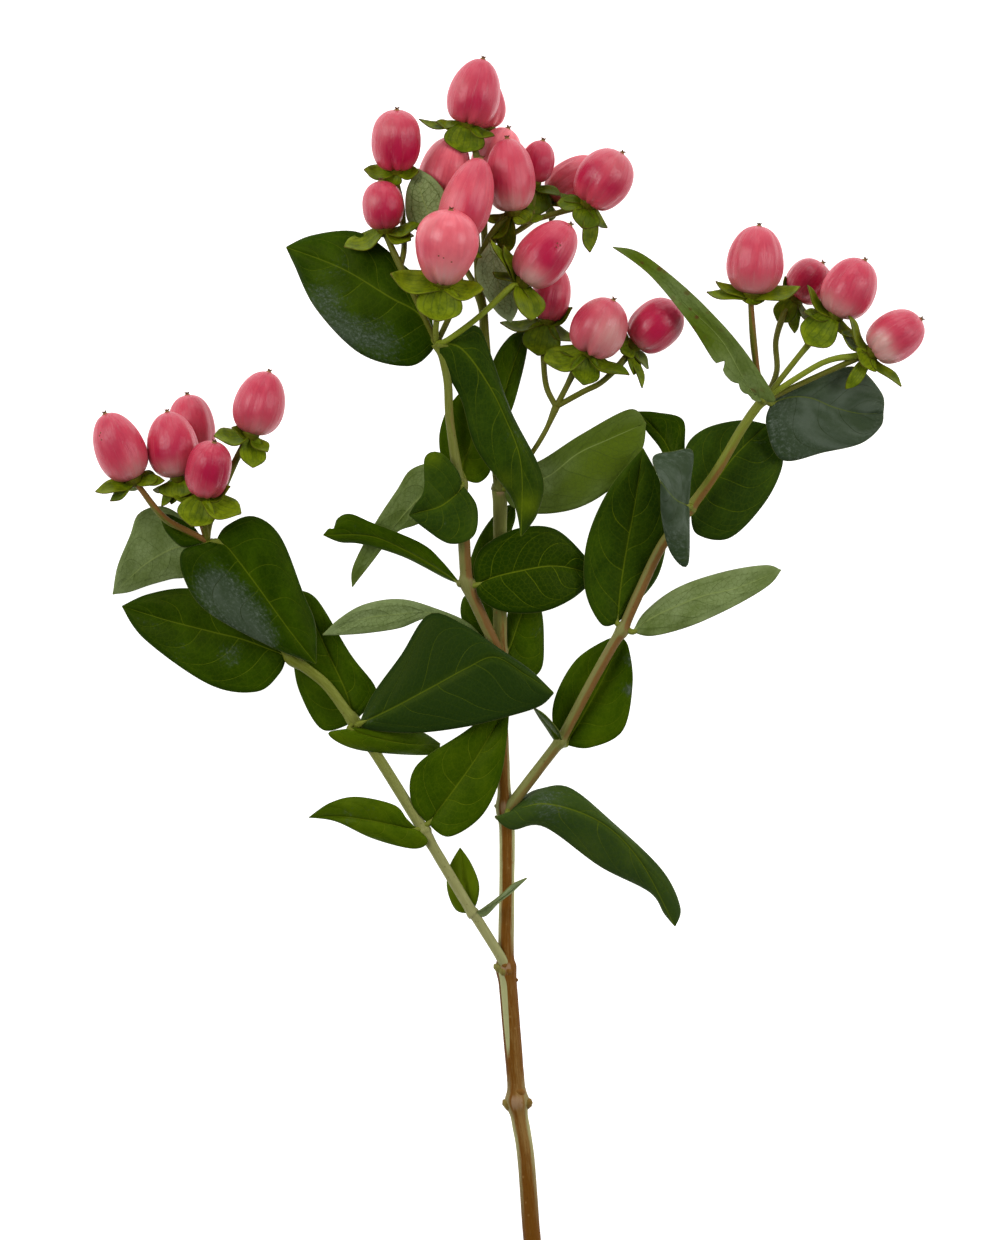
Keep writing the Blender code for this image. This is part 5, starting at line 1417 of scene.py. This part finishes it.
SHOOT_GREEN = (0.090, 0.096, 0.002)
SHOOT_PALE = (0.360, 0.350, 0.150)
SHOOT_FRESH = (0.190, 0.240, 0.012)
SHOOT_RED = (0.185, 0.075, 0.018)
SEPAL_GREEN = (0.064, 0.100, 0.0004)
SEPAL_BRIGHT = (0.170, 0.220, 0.003)
BARK_BROWN = (0.160, 0.058, 0.003)
BARK_TAN = (0.270, 0.150, 0.040)
BARK_DARK = (0.080, 0.028, 0.006)
BARK_GREEN = (0.200, 0.205, 0.050)
# A pale stripe colour, also used for painted rim light
BARK_STRIPE_AND_RIM_LIGHT = (0.400, 0.410, 0.190)
PITH = (0.420, 0.330, 0.190)
KNOB_TAN = (0.350, 0.220, 0.120)


class Wire:
    """What a node gives at each point of the surface: a number or a colour.

    Numbers are added, taken away, multiplied and compared as in plain sums, and
    each such step is a node.
    """

    def __init__(self, graph, socket):
        self.graph = graph
        self.socket = socket

    def __add__(self, other):
        return self.graph.math("ADD", self, other)

    def __sub__(self, other):
        return self.graph.math("SUBTRACT", self, other)

    def __rsub__(self, other):
        return self.graph.math("SUBTRACT", other, self)

    def __mul__(self, other):
        return self.graph.math("MULTIPLY", self, other)

    def __gt__(self, other):
        return self.graph.math("GREATER_THAN", self, other)

    def __abs__(self):
        return self.graph.math("ABSOLUTE", self)

    def fraction(self):
        return self.graph.math("FRACT", self)

    def cosine(self):
        return self.graph.math("COSINE", self)

    def fade(self, low, high):
        """Nought where it is at low, one where it is at high, smooth between."""
        node = self.graph.nodes.new("ShaderNodeMapRange")
        node.interpolation_type = "SMOOTHSTEP"
        self.graph.feed(node.inputs["Value"], self)
        falling = low > high
        node.inputs["From Min"].default_value = min(low, high)
        node.inputs["From Max"].default_value = max(low, high)
        node.inputs["To Min"].default_value = 1.0 if falling else 0.0
        node.inputs["To Max"].default_value = 0.0 if falling else 1.0
        return Wire(self.graph, node.outputs["Result"])


class Graph:
    """A material's nodes, made one line at a time."""

    def __init__(self, name, roughness, specular):
        self.material = bpy.data.materials.new(name)
        self.material.use_nodes = True
        self.nodes = self.material.node_tree.nodes
        self.links = self.material.node_tree.links
        self.shader = self.nodes["Principled BSDF"]
        self.set("Roughness", roughness)
        self.set("Specular IOR Level", specular)

    def set(self, name, value):
        """A value of the shader that is the same all over the surface."""
        self.shader.inputs[name].default_value = value

    def feed(self, socket, value):
        if isinstance(value, Wire):
            self.links.new(value.socket, socket)
        elif isinstance(value, tuple) and len(value) == 3 and socket.type == "RGBA":
            socket.default_value = (*value, 1.0)
        else:
            socket.default_value = value

    def mark(self, name):
        """The three numbers of one of the mesh's marks."""
        node = self.nodes.new("ShaderNodeAttribute")
        node.attribute_name = name
        split = self.nodes.new("ShaderNodeSeparateXYZ")
        self.links.new(node.outputs["Vector"], split.inputs[0])
        return [Wire(self, output) for output in split.outputs]

    def math(self, operation, first, second=0.0):
        node = self.nodes.new("ShaderNodeMath")
        node.operation = operation
        self.feed(node.inputs[0], first)
        self.feed(node.inputs[1], second)
        return Wire(self, node.outputs[0])

    def vector(self, x, y, z):
        node = self.nodes.new("ShaderNodeCombineXYZ")
        for socket, value in zip(node.inputs, (x, y, z)):
            self.feed(socket, value)
        return Wire(self, node.outputs[0])

    def noise(self, vector, scale, detail=3.0, roughness=0.55):
        node = self.nodes.new("ShaderNodeTexNoise")
        self.feed(node.inputs["Vector"], vector)
        node.inputs["Scale"].default_value = scale
        node.inputs["Detail"].default_value = detail
        node.inputs["Roughness"].default_value = roughness
        return Wire(self, node.outputs["Fac"])

    def cells(self, vector, scale, feature="DISTANCE_TO_EDGE"):
        """How far it is to the nearest cell's edge or, with F1, to its middle."""
        node = self.nodes.new("ShaderNodeTexVoronoi")
        node.feature = feature
        self.feed(node.inputs["Vector"], vector)
        node.inputs["Scale"].default_value = scale
        return Wire(self, node.outputs["Distance"])

    def mix(self, share, first, second):
        """The first colour where the share is nought or less, the second from one up."""
        node = self.nodes.new("ShaderNodeMix")
        node.data_type = "RGBA"
        self.feed(node.inputs[0], share)
        self.feed(node.inputs[6], first)
        self.feed(node.inputs[7], second)
        return Wire(self, node.outputs[2])

    def bump(self, height, distance, strength):
        node = self.nodes.new("ShaderNodeBump")
        node.inputs["Strength"].default_value = strength
        node.inputs["Distance"].default_value = distance
        self.feed(node.inputs["Height"], height)
        self.links.new(node.outputs["Normal"], self.shader.inputs["Normal"])

    def finish(self, colour, roughness=None):
        self.feed(self.shader.inputs["Base Color"], colour)
        if roughness is not None:
            self.feed(self.shader.inputs["Roughness"], roughness)
        return self.material


def vein_lines(turn, across, times, width):
    """One on a side vein and nought between, as vein_share says."""
    part = ((turn + (across > 0.0) * 0.5) * times).fraction()
    return abs(part - 0.5).fade(width, 0.0)


def leaf_material(under):
    """One side of the leaves; tint holds tone, painted sheen (brown flecks on the
    underside) and the place among the side veins, and extra how far veins show,
    light that shines through, and a cooler colour that is partly painted light."""
    graph = Graph("leaf_under" if under else "leaf_upper", 0.5, 0.10 if under else 0.06)
    graph.set("Specular Tint", UNDER_SHINE if under else LEAF_SHINE)
    along, across, margin = graph.mark("place")
    length, width, seed = graph.mark("span")
    tone, sheen_and_fleck_share, turn = graph.mark("tint")
    shown, glow, cool_and_painted_light = graph.mark("extra")
    spot = graph.vector(length, width, seed)
    broad = graph.noise(spot, 0.12, 3.0)
    fine = graph.noise(spot, 1.1, 4.0, 0.65)
    from_rib = abs(width)
    rib = (from_rib - (0.24 - along * 0.17)).fade(0.10, -0.08)
    vein_strength = graph.noise(spot, 0.16, 2.0).fade(0.30, 0.62) * 0.6 + 0.4
    veins = vein_lines(turn, across, 1.0, 0.028) * vein_strength
    thin_veins = vein_lines(turn, across, 3.0, 0.07)
    net = graph.cells(spot, 0.85).fade(0.13, 0.0)
    loop = abs(margin - 1.7).fade(0.28, 0.0)
    open_blade = margin.fade(0.3, 1.6) * along.fade(1.0, 0.8)
    lightness = tone * 0.45 + broad * 1.3 + fine * 0.4 - 0.4
    if under:
        ground = graph.mix(lightness.fade(-0.1, 1.0), UNDER_DARK, UNDER_PALE)
        # Painted light: an underside in shade is lifted towards a pale green
        ground = graph.mix(cool_and_painted_light * (fine + 0.4), ground, UNDER_PAINTED_LIGHT)
        lines = veins * 0.7 + thin_veins * 0.35 + net * 0.45 + loop * 0.4
        ground = graph.mix(glow * (fine + 0.5), ground, UNDER_GLOW)
        ground = graph.mix(lines * open_blade * (shown + 0.1), ground, UNDER_VEIN)
        ground = graph.mix(rib * 0.6, ground, UNDER_RIB)
        flecks = graph.cells(spot, 0.38, "F1").fade(0.36, 0.16)
        ground = graph.mix(flecks * sheen_and_fleck_share, ground, RUST)
        relief = lines * 0.5 + fine * 0.3
        roughness = fine * 0.2 + 0.48
    else:
        ground = graph.mix(lightness.fade(0.0, 0.75), LEAF_DARK, LEAF_MID)
        ground = graph.mix(lightness.fade(0.55, 1.3), ground, LEAF_BRIGHT)
        # A bluish green, partly a painted sheen
        ground = graph.mix(cool_and_painted_light * (fine + 0.4), ground, LEAF_COOL_AND_SHEEN)
        ground = graph.mix(from_rib.fade(2.2, 0.3) * 0.12, ground, LEAF_BRIGHT)
        lines = veins * 0.85 + thin_veins * 0.16 + net * 0.14 + loop * 0.14
        ground = graph.mix(glow * (fine + 0.4), ground, LEAF_GLOW)
        ground = graph.mix(lines * open_blade * shown, ground, LEAF_VEIN)
        # Painted sheen: a pale bluish-grey reflection painted over the green, with darker veins
        # through it
        sheen_mask, sheen_and_flecks = painted_sheen(graph, spot, turn, width, seed, sheen_and_fleck_share)
        ground = graph.mix(sheen_mask * 0.85, ground, sheen_and_flecks)
        ground = graph.mix(veins * sheen_mask * open_blade * 0.75, ground, SHEEN_VEIN)
        ground = graph.mix(rib * (shown * 0.6 + 0.25), ground, LEAF_RIB)
        relief = lines * -0.6 + fine * 0.3
        roughness = fine * 0.18 + sheen_mask * 0.12 + 0.36
    # A pale margin: partly the leaf's own yellowish rim, partly a painted reflection
    rim = (margin + fine * 0.12).fade(0.24, 0.06)
    ground = graph.mix(rim * 0.7, ground, LEAF_EDGE)
    graph.bump(relief, 0.16 * MM, 0.7)
    return graph.finish(ground, roughness)


def painted_sheen(graph, spot, turn, width, seed, sheen_and_fleck_share):
    """Where a leaf's painted sheen lies, and its colour: grainy where it is weak,
    and brushed along the side veins where it is strong."""
    streaks = graph.noise(graph.vector(turn * 1.3, width * 0.10, seed), 1.6, 5.0, 0.6)
    bands = graph.noise(graph.vector(turn * 0.9, width * 0.2, seed), 1.1, 2.0, 0.5)
    mottle = graph.noise(spot, 1.3, 6.0, 0.72)
    sheen_mask = (sheen_and_fleck_share * 0.5 + (streaks * 0.5 + mottle * 0.9) * 0.7).fade(0.66, 1.02)
    grainy = (streaks * 0.35 + mottle).fade(0.62, 0.96)
    brushed = (bands + mottle * 0.25).fade(0.45, 0.85) * 0.50
    strong_sheen = sheen_and_fleck_share.fade(0.9, 1.5)
    pale = grainy * (1.0 - strong_sheen) + brushed * strong_sheen
    return sheen_mask, graph.mix(pale, SHEEN_DARK, SHEEN_PALE)


def berry_material():
    """Pink skin; tint holds how deep its red is, its pale places, some of them
    painted highlights, and its pale foot, and extra how far its furrows and
    streaks show."""
    graph = Graph("berry_skin", 0.34, 0.42)
    along, cosine, sine = graph.mark("place")
    _, groove, seed = graph.mark("span")
    deep, blush_and_highlight, pale = graph.mark("tint")
    furrow, _, _ = graph.mark("extra")
    streak_place = graph.vector(cosine * 2.6, sine * 2.6, along * 0.8 + seed)
    streaks = graph.noise(streak_place, 2.6, 5.0, 0.65)
    mottle = graph.noise(graph.vector(cosine, sine, along * 2.2 + seed), 5.0, 4.0)
    streaky = furrow * 0.6 + 0.3
    # The red is deeper in the grooves, a painted shade
    ripe = deep + (streaks - 0.5) * streaky + groove * 0.12 + (mottle - 0.5) * 0.3
    skin = graph.mix(ripe.fade(-0.6, 0.2), BERRY_PALE, BERRY_SALMON)
    skin = graph.mix(ripe, skin, BERRY_DEEP)
    near_base = (along + streaks * -0.3).fade(0.30, -0.12)
    # Pale skin at the stalk end and in places, some of these places painted highlights
    skin = graph.mix(near_base * pale + blush_and_highlight * (streaks + 0.3), skin, BERRY_BLUSH_AND_HIGHLIGHT)
    seam = groove.fade(0.93, 1.0) * mottle.fade(0.4, 0.6)
    skin = graph.mix(streaks.fade(0.56, 0.72) * 0.12 + seam * 0.25, skin, BERRY_BLUSH_AND_HIGHLIGHT)
    graph.bump(streaks * furrow + mottle * 0.4, 0.34 * MM, 0.7)
    graph.set("Subsurface Weight", 0.12)
    graph.set("Subsurface Radius", (1.0, 0.25, 0.2))
    graph.set("Subsurface Scale", 1.0 * MM)
    return graph.finish(skin, mottle * 0.20 + 0.22)


def style_material(name, colour, scale):
    """The dry style and the specks: a colour mottled with red-brown."""
    graph = Graph(name, 0.7, 0.2)
    length, width, seed = graph.mark("span")
    mottle = graph.noise(graph.vector(length, width, seed), scale, 4.0, 0.6)
    graph.bump(mottle, 0.08 * MM, 0.5)
    return graph.finish(graph.mix(mottle.fade(0.35, 0.65), colour, SHOOT_RED))


def shoot_material():
    """Green stalks; tint holds shares of pale, of red and of fresh green."""
    graph = Graph("shoot_skin", 0.45, 0.12)
    cosine, sine, joint = graph.mark("place")
    length, width, seed = graph.mark("span")
    pale, red, fresh = graph.mark("tint")
    spot = graph.vector(length, width, seed)
    grain_place = graph.vector(cosine * 1.6, sine * 1.6, length * 0.10 + seed)
    grain = graph.noise(grain_place, 3.2, 5.0, 0.65)
    fine = graph.noise(spot, 1.6, 4.0)
    skin = graph.mix(pale + (grain - 0.5) * 0.7, SHOOT_GREEN, SHOOT_PALE)
    skin = graph.mix(fresh * (grain + 0.4), skin, SHOOT_FRESH)
    right_side = cosine.fade(0.35, -0.35)
    rust = red * 0.8 + (grain - 0.5) + joint * -0.5 + right_side * (red + 0.05)
    skin = graph.mix(rust.fade(0.25, 0.75) * 0.85, skin, SHOOT_RED)
    skin = graph.mix(abs(cosine).fade(0.80, 0.98) * 0.4, skin, SHOOT_GREEN)
    specks = graph.cells(spot, 0.55, "F1").fade(0.16, 0.06)
    skin = graph.mix(specks * 0.45, skin, BARK_DARK)
    graph.bump(grain + fine * 0.4, 0.15 * MM, 0.6)
    return graph.finish(skin, fine * 0.2 + 0.38)


def sepal_material():
    """Cups and sepals; the first number of tint is how bright their green is,
    darker where it is a painted shade for sepals in shadow.
    """
    graph = Graph("sepal_skin", 0.45, 0.09)
    along, across, margin = graph.mark("place")
    length, width, seed = graph.mark("span")
    tone, _, _ = graph.mark("tint")
    spot = graph.vector(length, width, seed)
    broad = graph.noise(spot, 0.35, 3.0)
    fine = graph.noise(spot, 1.8, 4.0)
    lightness = broad + fine * 0.4 + tone * 0.12
    skin = graph.mix(lightness.fade(0.45, 0.95), SEPAL_GREEN, SEPAL_BRIGHT)
    waves = (across * (3.0 * math.tau)).cosine()
    lines = waves.fade(0.75, 1.0) * along.fade(1.0, 0.6)
    skin = graph.mix(lines * 0.35, skin, LEAF_MID)
    rust = margin.fade(0.22, 0.0) + along.fade(0.93, 1.0) + fine * 0.6 - 0.55
    skin = graph.mix(rust.fade(0.3, 1.0) * 0.7, skin, RUST)
    graph.bump(lines * -0.7 + fine * 0.4, 0.1 * MM, 0.6)
    return graph.finish(skin, fine * 0.2 + 0.4)


def bark_material():
    """The woody stem; tint holds shares of tan and of green, and over nought the
    share of a pale stripe on its left, below nought that of two pale edges, a
    painted rim light. One side of the tan is painted lighter, as if lit."""
    graph = Graph("bark", 0.6, 0.08)
    cosine, sine, joint = graph.mark("place")
    length, width, seed = graph.mark("span")
    tan, green, pale = graph.mark("tint")
    grain_place = graph.vector(cosine * 1.8, sine * 1.8, length * 0.07 + seed)
    grain = graph.noise(grain_place, 3.0, 6.0, 0.7)
    fine = graph.noise(graph.vector(length * 0.5, width, seed), 2.4, 5.0, 0.7)
    # Painted light: one side of the stem is painted a lighter tan, as if lit from there
    painted_lit_side = cosine.fade(0.3, -0.1) * cosine.fade(-0.9, -0.5)
    lightness = grain + tan * 0.5 + painted_lit_side * tan * 0.6
    skin = graph.mix(lightness.fade(0.55, 1.05), BARK_BROWN, BARK_TAN)
    skin = graph.mix(fine.fade(0.54, 0.74) * 0.6, skin, BARK_DARK)
    skin = graph.mix(abs(cosine + 0.1).fade(0.75, 1.0) * 0.5, skin, BARK_DARK)
    # Painted light: where the third tint is below nought, both edges are painted pale as a rim
    # light
    from_middle = abs(cosine) + (grain - 0.5) * 0.5
    painted_rim_light = from_middle.fade(0.55, 0.80) * (pale * -0.85)
    skin = graph.mix(painted_rim_light, skin, BARK_STRIPE_AND_RIM_LIGHT)
    left_side = cosine.fade(-0.3, 0.5)
    young = green + (grain - 0.5) * 1.2 + left_side * green * 0.6
    skin = graph.mix(young.fade(0.35, 0.8), skin, BARK_GREEN)
    stripe_edge = pale * -0.45 + 0.62
    stripe = pale * (cosine - stripe_edge).fade(-0.12, 0.05) * cosine.fade(0.88, 0.72)
    skin = graph.mix((stripe + grain * 0.2).fade(0.30, 0.60), skin, BARK_STRIPE_AND_RIM_LIGHT)
    front = joint * abs(cosine).fade(0.75, 0.35)
    skin = graph.mix((front + grain).fade(0.9, 1.6) * 0.85, skin, KNOB_TAN)
    specks = graph.cells(graph.vector(length, width, seed), 0.42, "F1").fade(0.18, 0.08)
    skin = graph.mix(specks * 0.6, skin, BARK_TAN)
    graph.bump(grain + fine * 0.7, 0.22 * MM, 0.8)
    return graph.finish(skin, fine * 0.25 + 0.45)


def cut_material():
    """The cut end: pale wood with a softer pith in its middle."""
    graph = Graph("cut_wood", 0.8, 0.2)
    share, angle, _ = graph.mark("place")
    rings = graph.noise(graph.vector(share * 4.0, angle, 0.0), 3.0, 4.0)
    skin = graph.mix((share + rings * 0.3).fade(0.4, 0.6), PITH, BARK_TAN)
    graph.bump(rings, 0.1 * MM, 0.6)
    return graph.finish(graph.mix(share.fade(0.82, 0.95), skin, BARK_DARK))


# Putting the pieces on the frame

# Tints, as the stems' materials read them: a stem's are spaced evenly along it
STEM_TINTS = {
    # The main stem's third numbers: over nought a pale stripe, below nought a painted rim light
    # along both edges
    "main_stem": [
        (0.05, 0.15, 0.0), (0.05, 0.1, 0.0), (0.1, 0.0, -0.4), (0.45, 0.0, -0.9), (0.3, 0.0, -0.2),
        (0.2, 0.0, 0.7), (0.15, 0.0, 1.0), (0.15, 0.0, -0.8), (0.15, 0.0, -1.0),
        (0.15, 0.05, -1.0), (0.2, 0.1, -0.7), (0.25, 0.1, -0.3), (0.3, 0.2, -0.6),
        (0.3, 0.5, -0.5), (0.4, 0.8, -0.4), (0.6, 1.1, -0.5), (0.4, 1.0, -0.6)],
    "left_shoot": [
        (0.95, -0.1, 0.0), (0.65, -0.2, 0.1), (0.30, -0.1, 0.4), (0.10, -0.1, 0.3),
        (0.05, 0.0, 0.3)],
    "centre_shoot": [
        (0.35, 0.50, 0.0), (0.35, 0.45, 0.0), (0.25, 0.30, 0.1), (0.20, 0.20, 0.2),
        (0.15, 0.05, 0.4)],
    "top_shoot": [(0.20, 0.0, 0.2), (0.05, 0.1, 0.0), (0.0, 0.1, 0.0)],
    "right_shoot": [
        (0.45, 0.25, 0.1), (0.30, 0.30, 0.1), (0.40, 0.50, 0.0), (0.35, 0.50, 0.1),
        (0.15, 0.40, 0.4), (0.20, 0.0, 0.6)],
}
STALK_TINT = (0.05, 0.15, 0.0)   # of the stalks that aren't named here
STALK_TINTS = {
    "left_berry_1": (0.10, 0.90, 0.0), "left_berry_2": (0.10, 0.75, 0.0),
    "centre_berry_09": (0.20, 0.10, 0.5), "centre_berry_13": (0.10, -0.30, 1.0),
    "right_berry_1": (0.00, 0.50, 0.0), "right_berry_3": (0.00, 0.00, 0.4),
    "right_berry_4": (0.10, -0.20, 0.8),
}
NECK_TINT = (0.15, -0.3, 0.5)

# Buds and scars: the stem that bears them, across, down, height, radius in mm,
# and how green they are.
BUDS = {
    "main_stem": [
        (509.0, 1106.5, 5.9, 1.7, 0.45), (526.5, 1104.5, 5.9, 1.6, 0.45),
        (519.5, 1094.0, 6.9, 1.5, 0.0), (498.5, 969.0, 9.4, 1.3, 0.5),
        (503.0, 972.5, 9.8, 1.2, 0.5), (508.5, 972.0, 9.8, 1.1, 0.2),
        (504.5, 966.0, 10.0, 1.05, 0.0), (516.5, 981.0, 8.2, 0.5, 0.0),
        (531.5, 1146.0, 4.8, 0.35, 0.0), (497.0, 807.0, 11.7, 0.7, 0.6),
        (497.0, 818.0, 11.5, 0.6, 0.6)],
    "top_shoot": [(500.0, 489.0, 20.8, 2.1, 0.0)],
    "centre_shoot": [(460.5, 583.0, 23.6, 1.1, 0.0), (473.5, 583.0, 23.6, 1.1, 0.0)],
}


def dress(shape, name, materials):
    """Put a shape in the place of a piece of the frame."""
    piece = shape.build(name + "_fine", materials)
    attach(piece, "root")
    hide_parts(name)
    return piece


def middle_line(table):
    """The points of a stem's table."""
    return [at(*entry[:3]) for entry in table]


def joint_marks(table):
    """One where a stem swells to a joint, nought elsewhere."""
    marks = []
    for index, entry in enumerate(table):
        around = [table[near][3] for near in (index - 1, index + 1) if 0 <= near < len(table)]
        marks.append(1.0 if entry[3] > JOINT_SWELL * min(around) else 0.0)
    return marks


def add_rods(shape, name, seed):
    """A stem and the side stalks that fork from it."""
    table = STEMS[name]
    radii = [entry[3] * MM for entry in table]
    add_tube(shape, middle_line(table), radii, STEM_SIDES, STEM_SPANS, ROD_SLOT, seed,
             STEM_TINTS[name], joint_marks(table), STEM_RIDGE)
    for table in FORKS.get(name, []):
        radii = [entry[3] * MM for entry in table]
        add_tube(shape, middle_line(table), radii, STALK_SIDES, STEM_SPANS, ROD_SLOT, seed,
                 [STALK_TINT])


def add_stalk(shape, berry, tint, seed):
    """A berry's stalk, swollen halfway where it is long."""
    route = berry.stalk + [berry.base - berry.axis() * CUP_HEIGHT / 2.0]
    radii = [STALK_RADIUS] * len(route)
    marks = [0.0] * len(route)
    if len(route) > 3:
        radii[len(route) // 2] = STALK_RADIUS * STALK_JOINT
        marks[len(route) // 2] = 1.0
    add_tube(shape, route, radii, STALK_SIDES, STEM_SPANS, ROD_SLOT, seed, [tint], marks)


def add_bud(shape, centre, radius, green, seed):
    """A small rounded bump with a blunt point, for a bud or a scar."""
    rings, sides = BUD_SPLITS
    twos, threes = BUD_BUMPS
    points = [centre + SEEN * radius]
    for ring in range(1, rings):
        turn = math.pi * ring / rings
        for number in range(sides):
            angle = math.tau * number / sides
            rough = 1.0 + twos * math.sin(2.0 * angle + seed) + threes * math.sin(3.0 * angle)
            out = Vector((math.cos(angle), math.sin(angle), 0.0)) * math.sin(turn) * rough
            points.append(centre + (out + SEEN * math.cos(turn)) * radius)
    points.append(centre - SEEN * radius)
    place = [(0.0, 0.0, BUD_JOINT)] * len(points)
    span = [(point.x / MM, point.y / MM, seed) for point in points]
    tint = [(BUD_TAN, green, 0.0)] * len(points)
    faces = turned_round(ring_faces(rings - 1, sides, len(points) - 1))
    shape.add(points, faces, ROD_SLOT, place, span, tint)


def add_cut_end(shape, seed):
    """A flat disc over the main stem's lower end."""
    table = STEMS["main_stem"]
    end, inside = middle_line(table[:2])
    radius = table[0][3] * MM
    axis = (end - inside).normalized()
    side, other = square_to(axis)
    points = [end - axis * CUT_ROOT]
    place = [(1.0, 0.0, 0.0)]
    for level, share in CUT_RINGS:
        for number in range(STEM_SIDES):
            angle = math.tau * number / STEM_SIDES
            points.append(end + axis * level * MM + way_out(side, other, angle) * radius * share)
            place.append((share, angle, 0.0))
    points.append(end + axis * CUT_MIDDLE)
    place.append(NOUGHT)
    span = [(0.0, 0.0, seed)] * len(points)
    faces = ring_faces(len(CUT_RINGS), STEM_SIDES, len(points) - 1)
    shape.add(points, faces, CUT_SLOT, place, span, span)


def build_stems(materials, skins):
    """Each stem with its stalks, cups, sepals, small leaves and buds as one piece."""
    draw = random.Random(DRAW_SEED)
    first_seed, step = STEM_SEEDS
    for order, name in enumerate(STEMS):
        shape = Shape()
        seed = first_seed + order * step
        add_rods(shape, name, seed)
        for number, (berry_name, berry) in enumerate(BERRIES.items()):
            if berry.shoot != name:
                continue
            add_stalk(shape, berry, STALK_TINTS.get(berry_name, STALK_TINT), seed + number)
            add_calyx(shape, berry, RIPENESS[berry_name].green, draw, skins, seed + number)
        for number, leaflet in enumerate(LEAFLETS.get(name, [])):
            look = LEAFLET_LOOKS[name][number]
            add_leaf(shape, leaflet, look, LEAFLET_SPLITS, LEAFLET_SIDES, seed + number)
        for across, down, height, radius, green in BUDS.get(name, []):
            add_bud(shape, at(across, down, height), radius * MM, green, seed)
        green_parts = [materials["sepal"], materials["upper"], materials["under"]]
        if name == "main_stem":
            add_cut_end(shape, seed)
            dress(shape, name, [materials["bark"], *green_parts, materials["cut"]])
        else:
            dress(shape, name, [materials["shoot"], *green_parts])


def stem_centres():
    """Points along the middle lines of all stems."""
    found = []
    for table in STEMS.values():
        points = middle_line(table)
        for span in range(len(points) - 1):
            found += [curve_point(points, span, step / CURVE_STEPS) for step in range(CURVE_STEPS)]
    return found


def build_leaves(materials):
    """All leaves; gives back their surfaces."""
    chosen = [materials["upper"], materials["under"], materials["shoot"]]
    centres = stem_centres()
    skins = []
    for order, (name, leaf) in enumerate(LEAVES.items()):
        shape = Shape()
        add_leaf(shape, leaf, LOOKS[name], LEAF_SPLITS, LEAF_SIDES, LEAF_SEED_STEP * order)
        add_neck(shape, leaf, centres, float(order))
        skins.append(skin_of(dress(shape, name, chosen)))
    return skins


def build_berries(materials):
    """All berries; gives back their surfaces."""
    chosen = [materials["berry"], materials["style_tan"], materials["style_dark"]]
    first_seed, step = BERRY_SEEDS
    skins = []
    for order, (name, berry) in enumerate(BERRIES.items()):
        shape = Shape()
        add_berry(shape, berry, RIPENESS[name], first_seed + order * step)
        skins.append(skin_of(dress(shape, name, chosen)))
    return skins


# Camera, floor and lights


def place_in_scene(name, data, location=NOUGHT):
    placed = bpy.data.objects.new(name, data)
    placed.location = location
    bpy.context.scene.collection.objects.link(placed)
    return placed


def build_camera():
    camera = bpy.data.cameras.new("camera")
    camera.lens = LENS
    camera.sensor_width = SENSOR
    middle = at(PHOTO_SIZE[0] / 2.0, PHOTO_SIZE[1] / 2.0, 0.0)
    distance = PHOTO_SIZE[1] * VIEW_PIXEL * LENS / SENSOR
    location = (middle.x, middle.y, CAMERA_LEVEL + distance)
    bpy.context.scene.camera = place_in_scene("camera", camera, location)


def build_floor():
    """A plain white floor, which is no piece of the object."""
    mesh = bpy.data.meshes.new("floor")
    corners = [(-1.0, -1.0), (1.0, -1.0), (1.0, 1.0), (-1.0, 1.0)]
    mesh.from_pydata([(x * FLOOR_HALF, y * FLOOR_HALF, 0.0) for x, y in corners],
                     [], [(0, 1, 2, 3)])
    white = bpy.data.materials.new("floor_white")
    white.use_nodes = True
    shader = white.node_tree.nodes["Principled BSDF"]
    shader.inputs["Base Color"].default_value = FLOOR_GREY
    shader.inputs["Roughness"].default_value = 0.9
    shader.inputs["Emission Color"].default_value = WHITE
    shader.inputs["Emission Strength"].default_value = 1.0
    mesh.materials.append(white)
    place_in_scene("floor", mesh)


def build_lights():
    """An even white world and three broad lamps that face the object."""
    world = bpy.data.worlds.new("studio")
    world.use_nodes = True
    background = world.node_tree.nodes["Background"]
    background.inputs["Color"].default_value = WHITE
    background.inputs["Strength"].default_value = WORLD_STRENGTH
    bpy.context.scene.world = world
    bpy.context.scene.view_settings.view_transform = "Standard"
    for name, (place, power) in LAMPS.items():
        light = bpy.data.lights.new(name, "AREA")
        light.size = LAMP_SIZE
        light.energy = power
        lamp = place_in_scene(name, light, place)
        lamp.rotation_euler = (-Vector(place)).to_track_quat("-Z", "Y").to_euler()


def main():
    build_camera()
    build_floor()
    build_lights()
    materials = {
        "upper": leaf_material(False),
        "under": leaf_material(True),
        "berry": berry_material(),
        "style_tan": style_material("style_tan", STYLE_TAN, 2.0),
        "style_dark": style_material("style_dark", STYLE_DARK, 3.0),
        "shoot": shoot_material(),
        "sepal": sepal_material(),
        "bark": bark_material(),
        "cut": cut_material(),
    }
    skins = build_leaves(materials) + build_berries(materials)
    build_stems(materials, skins)


main()
